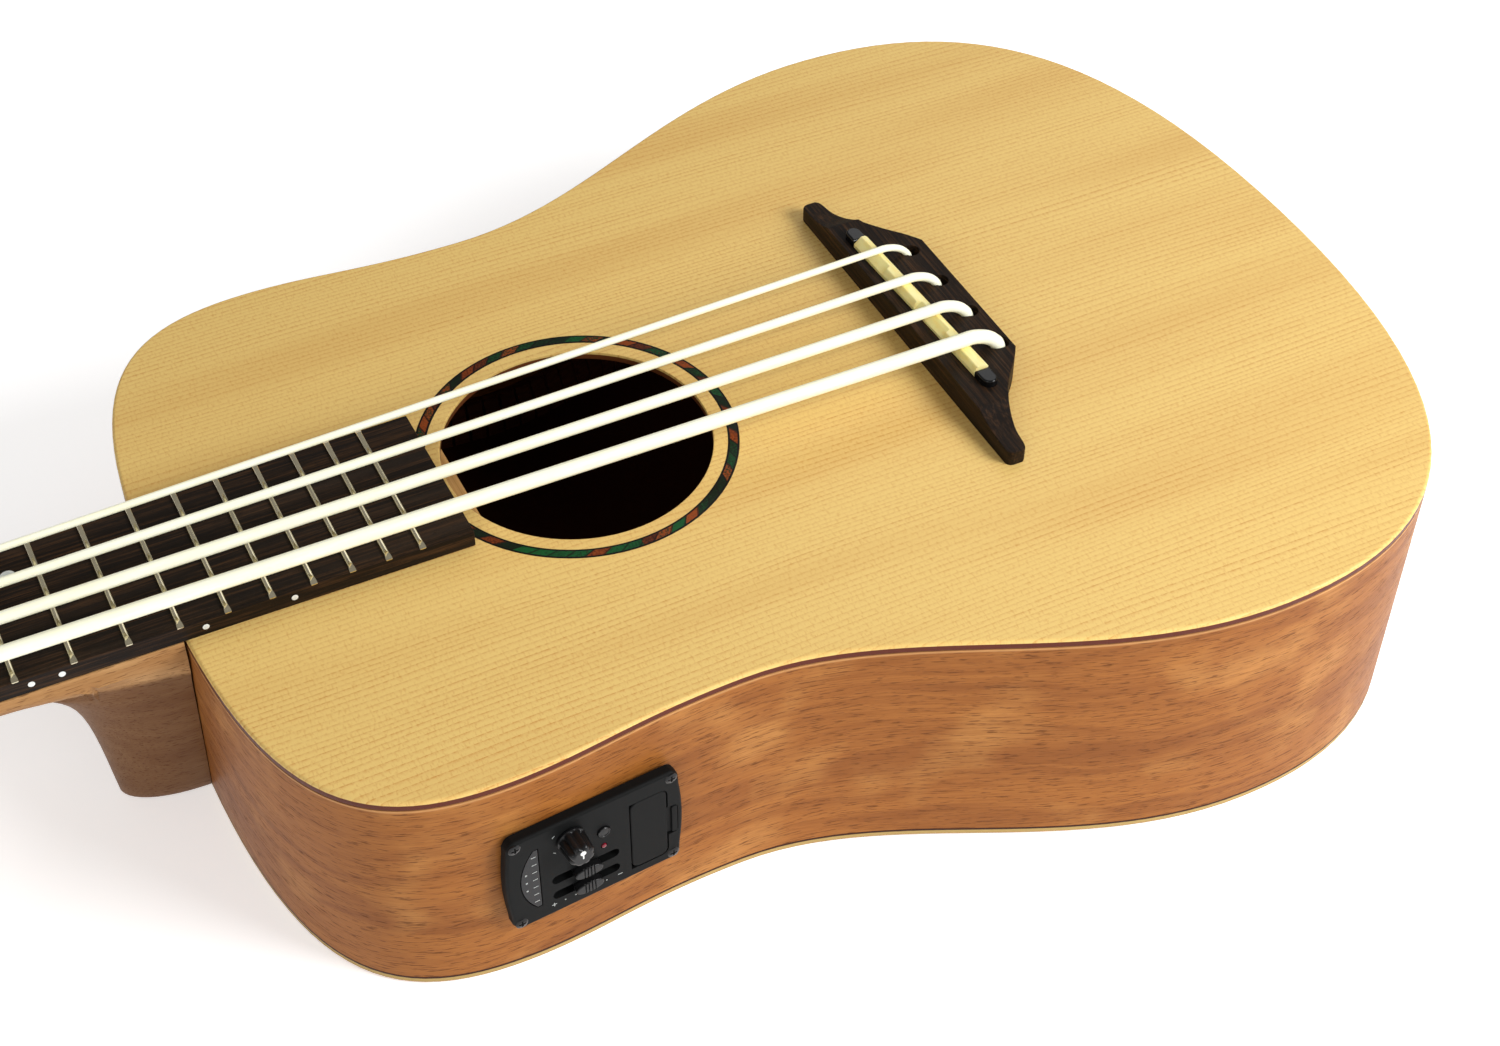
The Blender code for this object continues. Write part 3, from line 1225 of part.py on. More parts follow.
def door_outline(grow=0.0):
    """Battery door with its finger tongue on the tail side."""
    left = DOOR_U - DOOR_WIDTH / 2.0 - grow
    right = DOOR_U + DOOR_WIDTH / 2.0 + grow
    high = DOOR_V + DOOR_HEIGHT / 2.0 + grow
    low = DOOR_V - DOOR_HEIGHT / 2.0 - grow
    corner = DOOR_CORNER
    tongue = right + TONGUE_WIDTH
    half = TONGUE_HEIGHT / 2.0 + grow
    bend = 0.3 * corner
    return [(left, low), (right - corner, low), (right - bend, low + bend), (right, low + corner),
            (right, DOOR_V - half), (tongue, DOOR_V - half), (tongue, DOOR_V + half), (right, DOOR_V + half),
            (right, high - corner), (right - bend, high - bend), (right - corner, high), (left, high)]


def slider_slot_length():
    return SLIDER_TRAVEL + SLIDER_STEM_LENGTH + 2.0 * RUN_GAP


def door_seat_level():
    return PANEL_THICKNESS - DOOR_THICKNESS - GAP


def battery_room_left():
    return DOOR_U - DOOR_WIDTH / 2.0


def build_panel(preamp):
    """Outer panel with the holes for its controls and the seat of the battery door."""
    top = PANEL_THICKNESS
    panel = finish("preamp_panel", prism(bmesh.new(), panel_outline(), 0.0, top), "black_plastic", preamp)
    cut = bmesh.new()
    disc(cut, (KNOB_U, KNOB_V), KNOB_SHAFT_RADIUS + RUN_GAP, -PAST, top + PAST, 12)
    disc(cut, (KEY_U, KEY_V), KEY_RADIUS + RUN_GAP, -PAST, top + PAST, 12)
    disc(cut, (LAMP_U, LAMP_V), LAMP_RADIUS + GAP, -PAST, top + PAST, 8)
    for v in SLIDER_V:
        slot = rounded_rectangle(slider_slot_length(), SLIDER_SLOT_WIDTH, SLOT_CORNER, (SLIDER_U, v), 2)
        prism(cut, slot, -PAST, top + PAST)
    recess = rounded_rectangle(WINDOW_WIDTH + 2.0 * GAP, WINDOW_HEIGHT + 2.0 * GAP, SLOT_CORNER,
                               (WINDOW_U, 0.0), 2)
    prism(cut, recess, top - WINDOW_DEPTH - GAP, top + PAST)
    combine(panel, cut, "cut_panel_holes")
    seat = prism(bmesh.new(), door_outline(GAP), door_seat_level(), top + PAST)
    combine(panel, seat, "cut_door_seat")
    reach = DOOR_HEIGHT / 2.0 - DOOR_SEAT_LEDGE
    way = block(bmesh.new(), (battery_room_left() + DOOR_HINGE_LEDGE, DOOR_V - reach, -PAST),
                (HOUSING_LENGTH / 2.0 - HOUSING_WALL, DOOR_V + reach, door_seat_level() + PAST))
    combine(panel, way, "cut_battery_way")


def build_housing(preamp):
    """Box inside the body, with one room for the circuit and one for the two cells."""
    half_u = HOUSING_LENGTH / 2.0
    half_v = HOUSING_HEIGHT / 2.0
    wall = HOUSING_WALL
    divider = battery_room_left()
    bm = block(bmesh.new(), (-half_u, -half_v, -HOUSING_DEPTH), (half_u, half_v, -GAP))
    housing = finish("preamp_housing", bm, "black_plastic", preamp)
    rooms = bmesh.new()
    for left, right in ((-half_u + wall, divider - wall), (divider, half_u - wall)):
        block(rooms, (left, -half_v + wall, -HOUSING_DEPTH + wall), (right, half_v - wall, PAST))
    combine(housing, rooms, "cut_housing_rooms")

    middle = (divider + half_u - wall) / 2.0
    cell = circle(CELL_RADIUS, 24, (0.0, -CELL_RADIUS - CELL_BELOW_PANEL))
    for name, sign in (("battery_cell_inner", -1.0), ("battery_cell_outer", 1.0)):
        start = middle + sign * (CELL_THICKNESS + GAP) / 2.0 - CELL_THICKNESS / 2.0
        rings = [[(u, v, w) for v, w in cell] for u in (start, start + CELL_THICKNESS)]
        finish(name, loft(bmesh.new(), rings), "steel", preamp)


def build_circuit(preamp):
    """Circuit sheet with its slider rails, volume control, key switch and lamp."""
    wall = HOUSING_WALL + GAP
    half_u = HOUSING_LENGTH / 2.0
    half_v = HOUSING_HEIGHT / 2.0
    sheet_top = -CIRCUIT_FROM_PANEL
    sheet = block(bmesh.new(), (-half_u + wall, -half_v + wall, sheet_top - CIRCUIT_THICKNESS),
                  (battery_room_left() - wall, half_v - wall, sheet_top))
    circuit = finish("preamp_circuit", sheet, "circuit", preamp)
    sink = sheet_top - CIRCUIT_SINK
    under = -PARTS_BELOW_PANEL
    parts = bmesh.new()
    near = SLIDER_STEM_WIDTH / 2.0 + RUN_GAP
    far = near + SLIDER_RAIL_THICKNESS
    half_slot = slider_slot_length() / 2.0
    for v in SLIDER_V:
        for low, high in ((-far, -near), (near, far)):
            block(parts, (SLIDER_U - half_slot, v + low, sink), (SLIDER_U + half_slot, v + high, under))
    shaft = KNOB_SHAFT_RADIUS + RUN_GAP
    turned(parts, ((shaft, sink), (POT_RADIUS, sink), (POT_RADIUS, under), (shaft, under)), 14,
           Matrix.Translation((KNOB_U, KNOB_V, 0.0)))
    half = SWITCH_WIDTH / 2.0
    block(parts, (KEY_U - half, KEY_V - half, sink), (KEY_U + half, KEY_V + half, -SWITCH_WIDTH))
    block(parts, (LAMP_U - LAMP_RADIUS, LAMP_V - LAMP_RADIUS, sink),
          (LAMP_U + LAMP_RADIUS, LAMP_V + LAMP_RADIUS, LAMP_SEAT - GAP))
    combine(circuit, parts, "join_circuit_parts", "UNION")


def build_controls(preamp):
    """Knob, sliders, key, lamp and display window on the panel."""
    top = PANEL_THICKNESS
    edge = GAP + FACE_GAP
    knob = stack(bmesh.new(), (
        (KNOB_SHAFT_RADIUS, -top - KNOB_SHAFT_DEPTH), (KNOB_SHAFT_RADIUS, GAP), (KNOB_RADIUS, GAP),
        (KNOB_RADIUS, KNOB_SKIRT_HEIGHT), (KNOB_RADIUS - edge, KNOB_SKIRT_HEIGHT + edge),
        (KNOB_TOP_RADIUS, KNOB_HEIGHT - edge), (KNOB_TOP_RADIUS - edge, KNOB_HEIGHT)), 20)
    finish("volume_knob", knob, "black_plastic", preamp, Matrix.Translation((KNOB_U, KNOB_V, top)))

    half_cap = SLIDER_CAP_LENGTH / 2.0
    half_width = SLIDER_CAP_WIDTH / 2.0
    quarter = [(half_cap * u, half_width * v) for u, v in ((1.0, 0.35), (0.75, 0.8), (0.35, 1.0))]
    side = quarter + [(-u, v) for u, v in quarter][::-1]
    outline = side + [(u, -v) for u, v in side][::-1]
    half_stem = SLIDER_STEM_LENGTH / 2.0
    half_thin = SLIDER_STEM_WIDTH / 2.0
    for name, v in zip(("slider_treble", "slider_bass"), SLIDER_V):
        place = Matrix.Translation((SLIDER_U, v, top))
        cap = prism(bmesh.new(), outline, GAP, GAP + SLIDER_CAP_HEIGHT)
        slider = finish(name, cap, "black_plastic", preamp, place)
        stem = block(bmesh.new(), (-half_stem, -half_thin, -top - SLIDER_STEM_DEPTH),
                     (half_stem, half_thin, 2.0 * GAP))
        combine(slider, stem, "join_" + name, "UNION")

    key = stack(bmesh.new(), ((KEY_RADIUS, -top - SWITCH_WIDTH + SWITCH_TO_KEY),
                              (KEY_RADIUS, KEY_PROUD - FACE_GAP), (KEY_RADIUS - GAP, KEY_PROUD)), 12)
    finish("tuner_key", key, "black_plastic", preamp, Matrix.Translation((KEY_U, KEY_V, top)))
    levels = ((LAMP_RADIUS, LAMP_SEAT), (LAMP_RADIUS, top), (0.6 * LAMP_RADIUS, top + GAP))
    lamp = stack(bmesh.new(), levels, 8, Matrix.Translation((LAMP_U, LAMP_V, 0.0)))
    finish("lamp_lens", lamp, "red_lens", preamp)
    outline = rounded_rectangle(WINDOW_WIDTH, WINDOW_HEIGHT, SLOT_CORNER - GAP, (WINDOW_U, 0.0), 2)
    finish("display_window", prism(bmesh.new(), outline, top - WINDOW_DEPTH, top), "gloss_black", preamp)


def build_door(preamp):
    """Battery door with a round hinge edge on its axis."""
    radius = DOOR_THICKNESS / 2.0
    hinge_u = DOOR_U - DOOR_WIDTH / 2.0 + radius
    free_edge = [(u - hinge_u, v) for u, v in door_outline() if u > hinge_u]
    low_v = DOOR_V - DOOR_HEIGHT / 2.0
    high_v = DOOR_V + DOOR_HEIGHT / 2.0
    rings = []
    for degrees in range(-90, 91, 30):
        edge = -radius * math.cos(math.radians(degrees))
        level = radius * math.sin(math.radians(degrees))
        rings.append([(u, v, level) for u, v in [(edge, low_v)] + free_edge + [(edge, high_v)]])
    place = Matrix.Translation((hinge_u, 0.0, PANEL_THICKNESS - radius))
    finish("battery_door", loft(bmesh.new(), rings), "black_plastic", preamp, place)


def jack_matrix():
    """Frame of the output jack: Z points out of the tail."""
    middle = back_outside(0.0, TAIL_Y) / 2.0
    return Matrix.Translation((0.0, TAIL_Y, middle)) @ Matrix.Rotation(math.radians(90.0), 4, "X")


def build_jack(parent, block_inside):
    """Output jack through the tail block, which is the strap's button too, and its nut."""
    place = jack_matrix()
    seat = JACK_FLANGE_SEAT
    flange = seat + JACK_FLANGE_THICKNESS
    rim_low = JACK_KNOB_LENGTH - 2.0 * JACK_FLANGE_THICKNESS
    levels = (
        (JACK_RADIUS, JACK_KNOB_LENGTH - JACK_LENGTH), (JACK_RADIUS, seat), (JACK_FLANGE_RADIUS, seat),
        (JACK_FLANGE_RADIUS, flange), (JACK_WAIST_RADIUS, flange + 0.0012), (JACK_WAIST_RADIUS, 0.0070),
        (JACK_RIM_RADIUS, rim_low), (JACK_RIM_RADIUS, JACK_KNOB_LENGTH - 0.0010),
        (JACK_RIM_RADIUS - 0.0008, JACK_KNOB_LENGTH))
    jack = finish("output_jack", stack(bmesh.new(), levels, 24), "steel", parent, place)
    bore = stack(bmesh.new(), ((JACK_BORE_RADIUS, JACK_KNOB_LENGTH - JACK_BORE_DEPTH),
                               (JACK_BORE_RADIUS, JACK_KNOB_LENGTH + PAST)), 16)
    combine(jack, bore, "cut_jack_bore")

    top = TAIL_Y - block_inside - GAP
    low = top - JACK_NUT_THICKNESS
    flat = JACK_NUT_RADIUS * math.cos(math.radians(30.0))
    inner = (JACK_RADIUS + GAP) / math.cos(math.radians(15.0))
    rings = []
    for i in range(12):
        angle = math.tau * i / 12
        outer = flat if i % 2 else JACK_NUT_RADIUS
        section = ((inner, low), (outer, low), (outer, top), (inner, top))
        rings.append([place @ Vector((r * math.cos(angle), r * math.sin(angle), z)) for r, z in section])
    finish("jack_nut", loft(bmesh.new(), rings, closed=True), "steel", parent)


def build_leads(parent):
    hole_x, hole_y = lead_hole()
    housing_back = -HOUSING_DEPTH - 3.0 * GAP
    local = preamp_matrix()
    first_end = local @ Vector((-0.010, 0.002, housing_back))
    first_near = local @ Vector((-0.010, 0.002, housing_back - 0.012))
    second_end = local @ Vector((-0.002, -0.004, housing_back))
    second_near = local @ Vector((-0.002, -0.004, housing_back - 0.012))
    slot_floor = BRIDGE_HEIGHT - SLOT_DEPTH
    start = Vector((hole_x, hole_y, slot_floor - GAP))
    route = smooth_route([start, Vector((hole_x, hole_y, -0.0085)), Vector((hole_x, hole_y, -0.015)),
                          Vector((hole_x - 0.006, hole_y + 0.006, -0.026)),
                          Vector((0.004, -0.086, -0.032)), Vector((-0.034, -0.020, -0.036)),
                          first_near, first_end], 44)
    finish("pickup_lead", cord(bmesh.new(), route, LEAD_RADIUS, 8), "lead_sleeve", parent)
    jack_end = jack_matrix() @ Vector((0.0, 0.0, -(JACK_LENGTH - JACK_KNOB_LENGTH) - 3.0 * GAP))
    route = smooth_route([jack_end, jack_end + Vector((0.0, 0.014, 0.0)), Vector((-0.030, -0.170, -0.042)),
                          Vector((-0.062, -0.100, -0.042)), Vector((-0.058, -0.020, -0.044)),
                          second_near, second_end], 44)
    finish("jack_lead", cord(bmesh.new(), route, LEAD_RADIUS, 8), "lead_sleeve", parent)


def main():
    remove_old_objects()
    instrument = empty("instrument", matrix=instrument_matrix())
    head = empty("head_frame", instrument, head_matrix())
    preamp = empty("preamp_frame", instrument, preamp_matrix())
    build_top(instrument)
    build_back(instrument)
    build_sides(instrument)
    build_linings(instrument)
    block_inside = build_blocks(instrument)
    build_braces(instrument, block_inside)
    build_bridge_plate(instrument)
    build_neck(instrument)
    build_head_veneer(head)
    build_fingerboard(instrument)
    build_nut(instrument)
    build_bridge(instrument)
    build_saddle(instrument)
    build_strings(instrument)
    build_tuners(head)
    build_panel(preamp)
    build_housing(preamp)
    build_circuit(preamp)
    build_controls(preamp)
    build_door(preamp)
    build_jack(instrument, block_inside)
    build_leads(instrument)


main()
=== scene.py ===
import json
import math

import bmesh
import bpy
from mathutils import Matrix, Vector
from mathutils.kdtree import KDTree

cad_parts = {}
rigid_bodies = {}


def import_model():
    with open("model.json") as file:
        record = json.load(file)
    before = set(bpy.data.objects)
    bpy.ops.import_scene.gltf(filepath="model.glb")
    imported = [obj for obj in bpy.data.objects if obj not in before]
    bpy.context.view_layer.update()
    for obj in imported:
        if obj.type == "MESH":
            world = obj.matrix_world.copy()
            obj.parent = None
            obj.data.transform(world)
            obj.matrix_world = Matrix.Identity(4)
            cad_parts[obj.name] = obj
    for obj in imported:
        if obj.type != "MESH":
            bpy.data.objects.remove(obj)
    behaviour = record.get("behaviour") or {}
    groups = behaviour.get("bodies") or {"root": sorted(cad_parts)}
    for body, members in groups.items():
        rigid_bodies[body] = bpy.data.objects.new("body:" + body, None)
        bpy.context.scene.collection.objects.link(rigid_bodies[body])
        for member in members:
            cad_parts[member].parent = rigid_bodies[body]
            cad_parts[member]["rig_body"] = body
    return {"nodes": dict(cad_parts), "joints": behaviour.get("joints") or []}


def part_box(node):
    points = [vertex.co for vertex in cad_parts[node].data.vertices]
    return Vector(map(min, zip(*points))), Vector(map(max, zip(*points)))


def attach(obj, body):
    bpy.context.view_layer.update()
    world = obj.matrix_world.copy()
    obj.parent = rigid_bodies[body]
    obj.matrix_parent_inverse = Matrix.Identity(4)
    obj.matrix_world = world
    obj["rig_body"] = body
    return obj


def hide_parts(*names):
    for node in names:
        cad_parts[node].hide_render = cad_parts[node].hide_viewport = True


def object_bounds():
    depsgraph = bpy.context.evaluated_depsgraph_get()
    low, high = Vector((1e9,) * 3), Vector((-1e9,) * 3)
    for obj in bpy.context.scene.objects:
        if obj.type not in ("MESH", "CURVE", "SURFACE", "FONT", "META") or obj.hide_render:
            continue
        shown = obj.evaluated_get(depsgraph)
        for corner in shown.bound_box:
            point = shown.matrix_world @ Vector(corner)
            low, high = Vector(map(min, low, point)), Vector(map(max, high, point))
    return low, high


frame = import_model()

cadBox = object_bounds()     # the solids' own box, which sets the floor's height
joints = {joint["name"]: joint for joint in frame["joints"]}
mm = 0.001               # pieces are drawn in millimetres

body = {
    "tailY": -251.6, "jointY": 127.0,            # tail and neck ends, from the sound hole's middle
    "lower": 145.7, "lowerY": -150.7,            # half width and place of each bout and of the waist
    "waist": 103.7, "waistY": -3.6,
    "upper": 109.05, "upperY": 65.9,
    "depthAtJoint": 78.7, "depthAtTail": 90.1,
    "top": 3.0, "back": 3.0, "side": 2.4,
    "holeRadius": 40.2, "ringInner": 44.5, "ringOuter": 47.9, "ringDepth": 1.2,
}
scale = {"length": 530.0, "nutY": 420.91, "frets": 20}
strings = {
    "names": "EADG", "diameters": (4.4, 3.6, 2.8, 2.2),
    "atNut": 10.2, "atBridge": 16.6, "bridgeLine": -109.09,     # spacing at each end
    "overNut": 7.3, "overSaddle": 12.3,                         # heights of the strings' undersides
}
head = {
    "tilt": 12.0, "fromNut": 5.3, "length": 150.0, "thickness": 15.0, "veneer": 1.8,
    "nutHalf": 22.5, "flareY": 4.0, "wideHalf": 36.0, "wideY": 32.0, "endHalf": 28.0,
    "cornerY": 138.0, "cornerRun": 12.48, "postHole": 5.0,
}
postPlaces = {"E": (-1, 46.0, 23.0), "A": (-1, 106.0, 17.5), "D": (1, 106.0, 17.5), "G": (1, 46.0, 23.0)}
preamp = {
    "length": 54.0, "height": 37.4, "thickness": 3.3, "bulge": 1.4, "corner": 2.5,
    "knob": (-7.4, 10.9), "key": (2.5, 7.2), "lamp": (2.4, 1.0), "sliderU": -3.4, "sliderV": (-4.4, -11.0),
    "windowU": -19.7, "windowSpan": (-16.9, -23.0, 12.5), "windowArc": 1.7,
    "door": (16.4, -1.2), "doorSize": (11.3, 27.7), "doorCorner": 2.3, "tab": (23.1, -1.4),
}


# Frames. Each piece is drawn in millimetres and placed by one of these.
def axesMatrix(origin, x, y, z):
    rows = [[x[i] * mm, y[i] * mm, z[i] * mm, origin[i]] for i in range(3)]
    return Matrix(rows + [[0, 0, 0, 1]])


def backLevel(y):                       # height of the back's outer face
    slope = (body["depthAtTail"] - body["depthAtJoint"]) / (body["jointY"] - body["tailY"])
    return slope * (y - body["jointY"]) - body["depthAtJoint"]


def spin(degrees, axis):
    return Matrix.Rotation(math.radians(degrees), 4, axis)


upAxis = -Vector(joints["door_swing"]["axis"]).normalized()   # out of the soundboard
sideAxis = Vector((1, 0, 0))                                  # towards the treble side
alongAxis = upAxis.cross(sideAxis)                            # towards the head
ringLow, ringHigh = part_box("rosette")
ringTop = (ringLow + ringHigh) / 2 + upAxis * (body["ringDepth"] / 2 * mm)
drawing = axesMatrix(ringTop, sideAxis, alongAxis, upAxis)
headFrame = drawing @ Matrix.Translation((0, scale["nutY"] + head["fromNut"], 0)) @ spin(-head["tilt"], "X")
headLocal = drawing.inverted() @ headFrame
tailFace = Matrix.Translation((0, body["tailY"], backLevel(body["tailY"]) / 2)) @ spin(90, "X")

panelW = Vector(joints["volume_turn"]["axis"]).normalized()     # out of the side, at the preamp
panelU = Vector(joints["treble_slide"]["axis"]).normalized()    # along the panel, towards the tail
panelV = panelW.cross(panelU)
knobMiddle = panelU * preamp["knob"][0] + panelV * preamp["knob"][1] + panelW * preamp["thickness"]
panelFrame = axesMatrix(Vector(joints["volume_turn"]["pos_m"]) - knobMiddle * mm, panelU, panelV, panelW)
panelLocal = drawing.inverted() @ panelFrame


# Shader maths
class Signal:
    def __init__(self, finish, socket):
        self.finish = finish
        self.socket = socket

    def maths(self, operation, other=None, swapped=False):
        values = [self] if other is None else [other, self] if swapped else [self, other]
        return self.finish.node("ShaderNodeMath", {"operation": operation}, dict(enumerate(values)))

    def __add__(self, other):
        return self.maths("ADD", other)

    def __sub__(self, other):
        return self.maths("SUBTRACT", other)

    def __rsub__(self, other):
        return self.maths("SUBTRACT", other, True)

    def __mul__(self, other):
        return self.maths("MULTIPLY", other)

    def __pow__(self, other):
        return self.maths("POWER", other)

    def __abs__(self):
        return self.maths("ABSOLUTE")

    __radd__ = __add__
    __rmul__ = __mul__

    def fraction(self):
        return self.maths("FRACT")

    def most(self, other):
        return self.maths("MAXIMUM", other)

    def rise(self, low, high):          # 0 below low, 1 above high
        return self.finish.node("ShaderNodeMapRange", {"interpolation_type": "SMOOTHSTEP"},
                                {"Value": self, "From Min": low, "From Max": high})


class Finish:
    def __init__(self, name, fixed=None):
        self.material = bpy.data.materials.new(name)
        self.material.use_nodes = True
        self.tree = self.material.node_tree
        self.shader = self.tree.nodes["Principled BSDF"]
        for key, value in (fixed or {}).items():
            self.shader.inputs[key].default_value = value

    def node(self, kind, settings, values, out=0):
        made = self.tree.nodes.new(kind)
        for key, value in settings.items():
            if key == "stops":
                while len(made.color_ramp.elements) < len(value):
                    made.color_ramp.elements.new(0.5)
                for element, (place, shade) in zip(made.color_ramp.elements, value):
                    element.position = place
                    element.color = shade
            else:
                setattr(made, key, value)
        for key, value in values.items():
            self.feed(made.inputs[key], value)
        return Signal(self, made.outputs[out])

    def feed(self, socket, value):
        if isinstance(value, Signal):
            self.tree.links.new(value.socket, socket)
        else:
            socket.default_value = value

    def give(self, name, value):
        self.feed(self.shader.inputs[name], value)

    def vector(self, x, y, z):
        return self.node("ShaderNodeCombineXYZ", {}, {0: x, 1: y, 2: z})

    def split(self, vector):
        parts = self.node("ShaderNodeSeparateXYZ", {}, {0: vector})
        outputs = parts.socket.node.outputs
        return [Signal(self, outputs[i]) for i in range(3)]

    def axes(self, matrix):             # millimetres along the three axes of a frame
        place, turn, size = matrix.inverted().decompose()
        here = self.node("ShaderNodeTexCoord", {}, {}, 3)
        return self.split(self.node("ShaderNodeMapping", {}, {
            "Vector": here, "Location": place, "Rotation": turn.to_euler(), "Scale": size}))

    def wrap(self):                     # millimetres along a bent strip, and its height
        return self.split(self.node("ShaderNodeUVMap", {"uv_map": "wrap"}, {}))[:2]

    def noise(self, vector, detail=2.0, roughness=0.5):
        return self.node("ShaderNodeTexNoise", {}, {
            "Vector": vector, "Scale": 1.0, "Detail": detail, "Roughness": roughness})

    def mix(self, factor, first, second):
        return self.node("ShaderNodeMix", {"data_type": "RGBA"}, {0: factor, 6: first, 7: second}, 2)

    def bump(self, height, distance, strength=1.0):
        self.give("Normal", self.node("ShaderNodeBump", {}, {
            "Height": height, "Distance": distance, "Strength": strength}))


def colour(red, green, blue):           # a screen colour, 0 to 255
    parts = [value / 255 for value in (red, green, blue)]
    return tuple(c / 12.92 if c <= 0.04045 else ((c + 0.055) / 1.055) ** 2.4 for c in parts) + (1.0,)


def spruceTopFinish():
    look = {"pale": (234, 199, 121), "line": (196, 126, 52), "streak": (204, 150, 76),
            "edge": (88, 32, 8), "wall": (104, 58, 30),
            "pitch": 1.9, "waver": 11.0, "skin": -0.95, "skinFade": 0.08,
            "holeWall": (1700.0, 1850.0)}       # squared distances between which the wall's colour ends
    f = Finish("spruce top", {"Specular IOR Level": 0.18, "Coat Roughness": 0.2})
    x, y, z = f.axes(drawing)
    drift = f.noise(f.vector(x * 0.035, y * 0.0035, 3.0), 2.0)
    ring = ((x + drift * look["waver"]) * (1 / look["pitch"])).fraction()
    late = ring ** 4
    weight = f.noise(f.vector(x * 0.16, y * 0.006, 9.0), 3.0)
    silk = f.noise(f.vector(x * 0.55, y * 1.5, 1.0), 2.0, 0.6)
    dotted = f.noise(f.vector(x * 0.9, y * 0.8, 5.0), 2.0, 0.6).rise(0.36, 0.62)
    broad = f.noise(f.vector(x * 0.035, y * 0.003, 21.0), 2.0).rise(0.45, 0.75)
    wood = f.mix(broad * 0.3, colour(*look["pale"]), colour(*look["streak"]))
    strength = late * (0.35 + 0.5 * weight.rise(0.3, 0.7)) * (0.3 + 0.7 * dotted)
    wood = f.mix(strength, wood, colour(*look["line"]))
    wood = f.mix(silk.rise(0.5, 0.72) * 0.3, wood, colour(*look["line"]))
    layers = f.mix((x * x + y * y).rise(*look["holeWall"]), colour(*look["wall"]), colour(*look["edge"]))
    skin = z.rise(look["skin"] - look["skinFade"], look["skin"] + look["skinFade"])
    f.give("Base Color", f.mix(skin, layers, wood))
    f.give("Roughness", 0.38 + 0.1 * late + 0.08 * (silk - 0.5))
    f.give("Coat Weight", 0.03 + 0.04 * weight)
    f.bump(silk * 0.4 - late, 0.00003, 0.5)
    return f.material


def openGrain(f, along, across, depth, look):
    # reddish wood with long bands and short dark pores; the three inputs are millimetres
    bend = f.noise(f.vector(along * 0.011, across * 0.035, depth * 0.035), 2.0)
    band = f.noise(f.vector(along * 0.008, (across + bend * 34.0) * 0.16, depth * 0.16), 3.0, 0.55)
    fine = f.noise(f.vector(along * 0.05, across * 1.5, depth * 1.5), 4.0, 0.7)
    pore = f.noise(f.vector(along * 0.19, across * 2.2, depth * 2.2), 2.0, 0.6).rise(0.55, 0.66)
    sheen = f.noise(f.vector(along * 0.03, across * 0.03, depth * 0.03), 2.0)
    wood = f.mix(0.2 + 0.6 * band.rise(0.28, 0.72), colour(*look["dark"]), colour(*look["light"]))
    wood = f.mix(sheen.rise(0.5, 0.72) * 0.45, wood, colour(*look["glow"]))
    wood = f.mix(fine.rise(0.4, 0.75) * 0.6, wood, colour(*look["dark"]))
    wood = f.mix(pore * 0.62, wood, colour(*look["pore"]))
    f.give("Roughness", 0.42 + 0.12 * pore + 0.08 * fine)
    f.give("Coat Weight", 0.02 - 0.02 * pore)
    f.bump(0.0 - pore - fine * 0.25, 0.00004, 0.55)
    return wood


mahoganyLook = {"dark": (124, 70, 26), "light": (170, 108, 48), "glow": (204, 146, 80), "pore": (70, 32, 12)}
satin = {"Coat Roughness": 0.25, "Specular IOR Level": 0.12}


def mahoganySideFinish():
    look = {"paleLine": (214, 160, 104), "paleLineSpan": (-4.1, -3.5)}        # a paler line along the side just under the top
    f = Finish("mahogany side", satin)
    along, height = f.wrap()
    depth = f.axes(drawing)[0] * 0.02
    wood = openGrain(f, along, height, depth, mahoganyLook)
    f.give("Base Color", f.mix(height.rise(*look["paleLineSpan"]) * 0.55, wood, colour(*look["paleLine"])))
    return f.material


def neckFinish():
    look = {"dark": (152, 106, 60), "light": (194, 150, 98), "glow": (214, 174, 122), "pore": (80, 42, 18),
            "paintedHeelShade": (12.0, 15.0)}           # depths below which the neck is darkened: painted shade on the heel and the neck's underside below the flank
    f = Finish("mahogany neck", satin)
    x, y, z = f.axes(drawing)
    paintedHeelShade = (0 - z).rise(*look["paintedHeelShade"])
    # below the flank the wood is mixed towards the pore colour: painted shade
    f.give("Base Color", f.mix(paintedHeelShade * 0.7, openGrain(f, y, x, z, look), colour(*look["pore"])))
    return f.material


def backFinish():
    # mahogany inside and out, with the pale core and dark glue line at its edge
    look = {"core": (178, 150, 92), "glue": (58, 26, 12), "skin": (0.55, 0.7), "glueSpan": (2.2, 2.35)}
    f = Finish("mahogany back", satin)
    x, y, z = f.axes(drawing)
    wood = openGrain(f, y, x, z, mahoganyLook)
    height = z - backLevel(y)
    core = f.mix(height.rise(*look["glueSpan"]), colour(*look["core"]), colour(*look["glue"]))
    f.give("Base Color", f.mix(height.rise(*look["skin"]), wood, core))
    return f.material


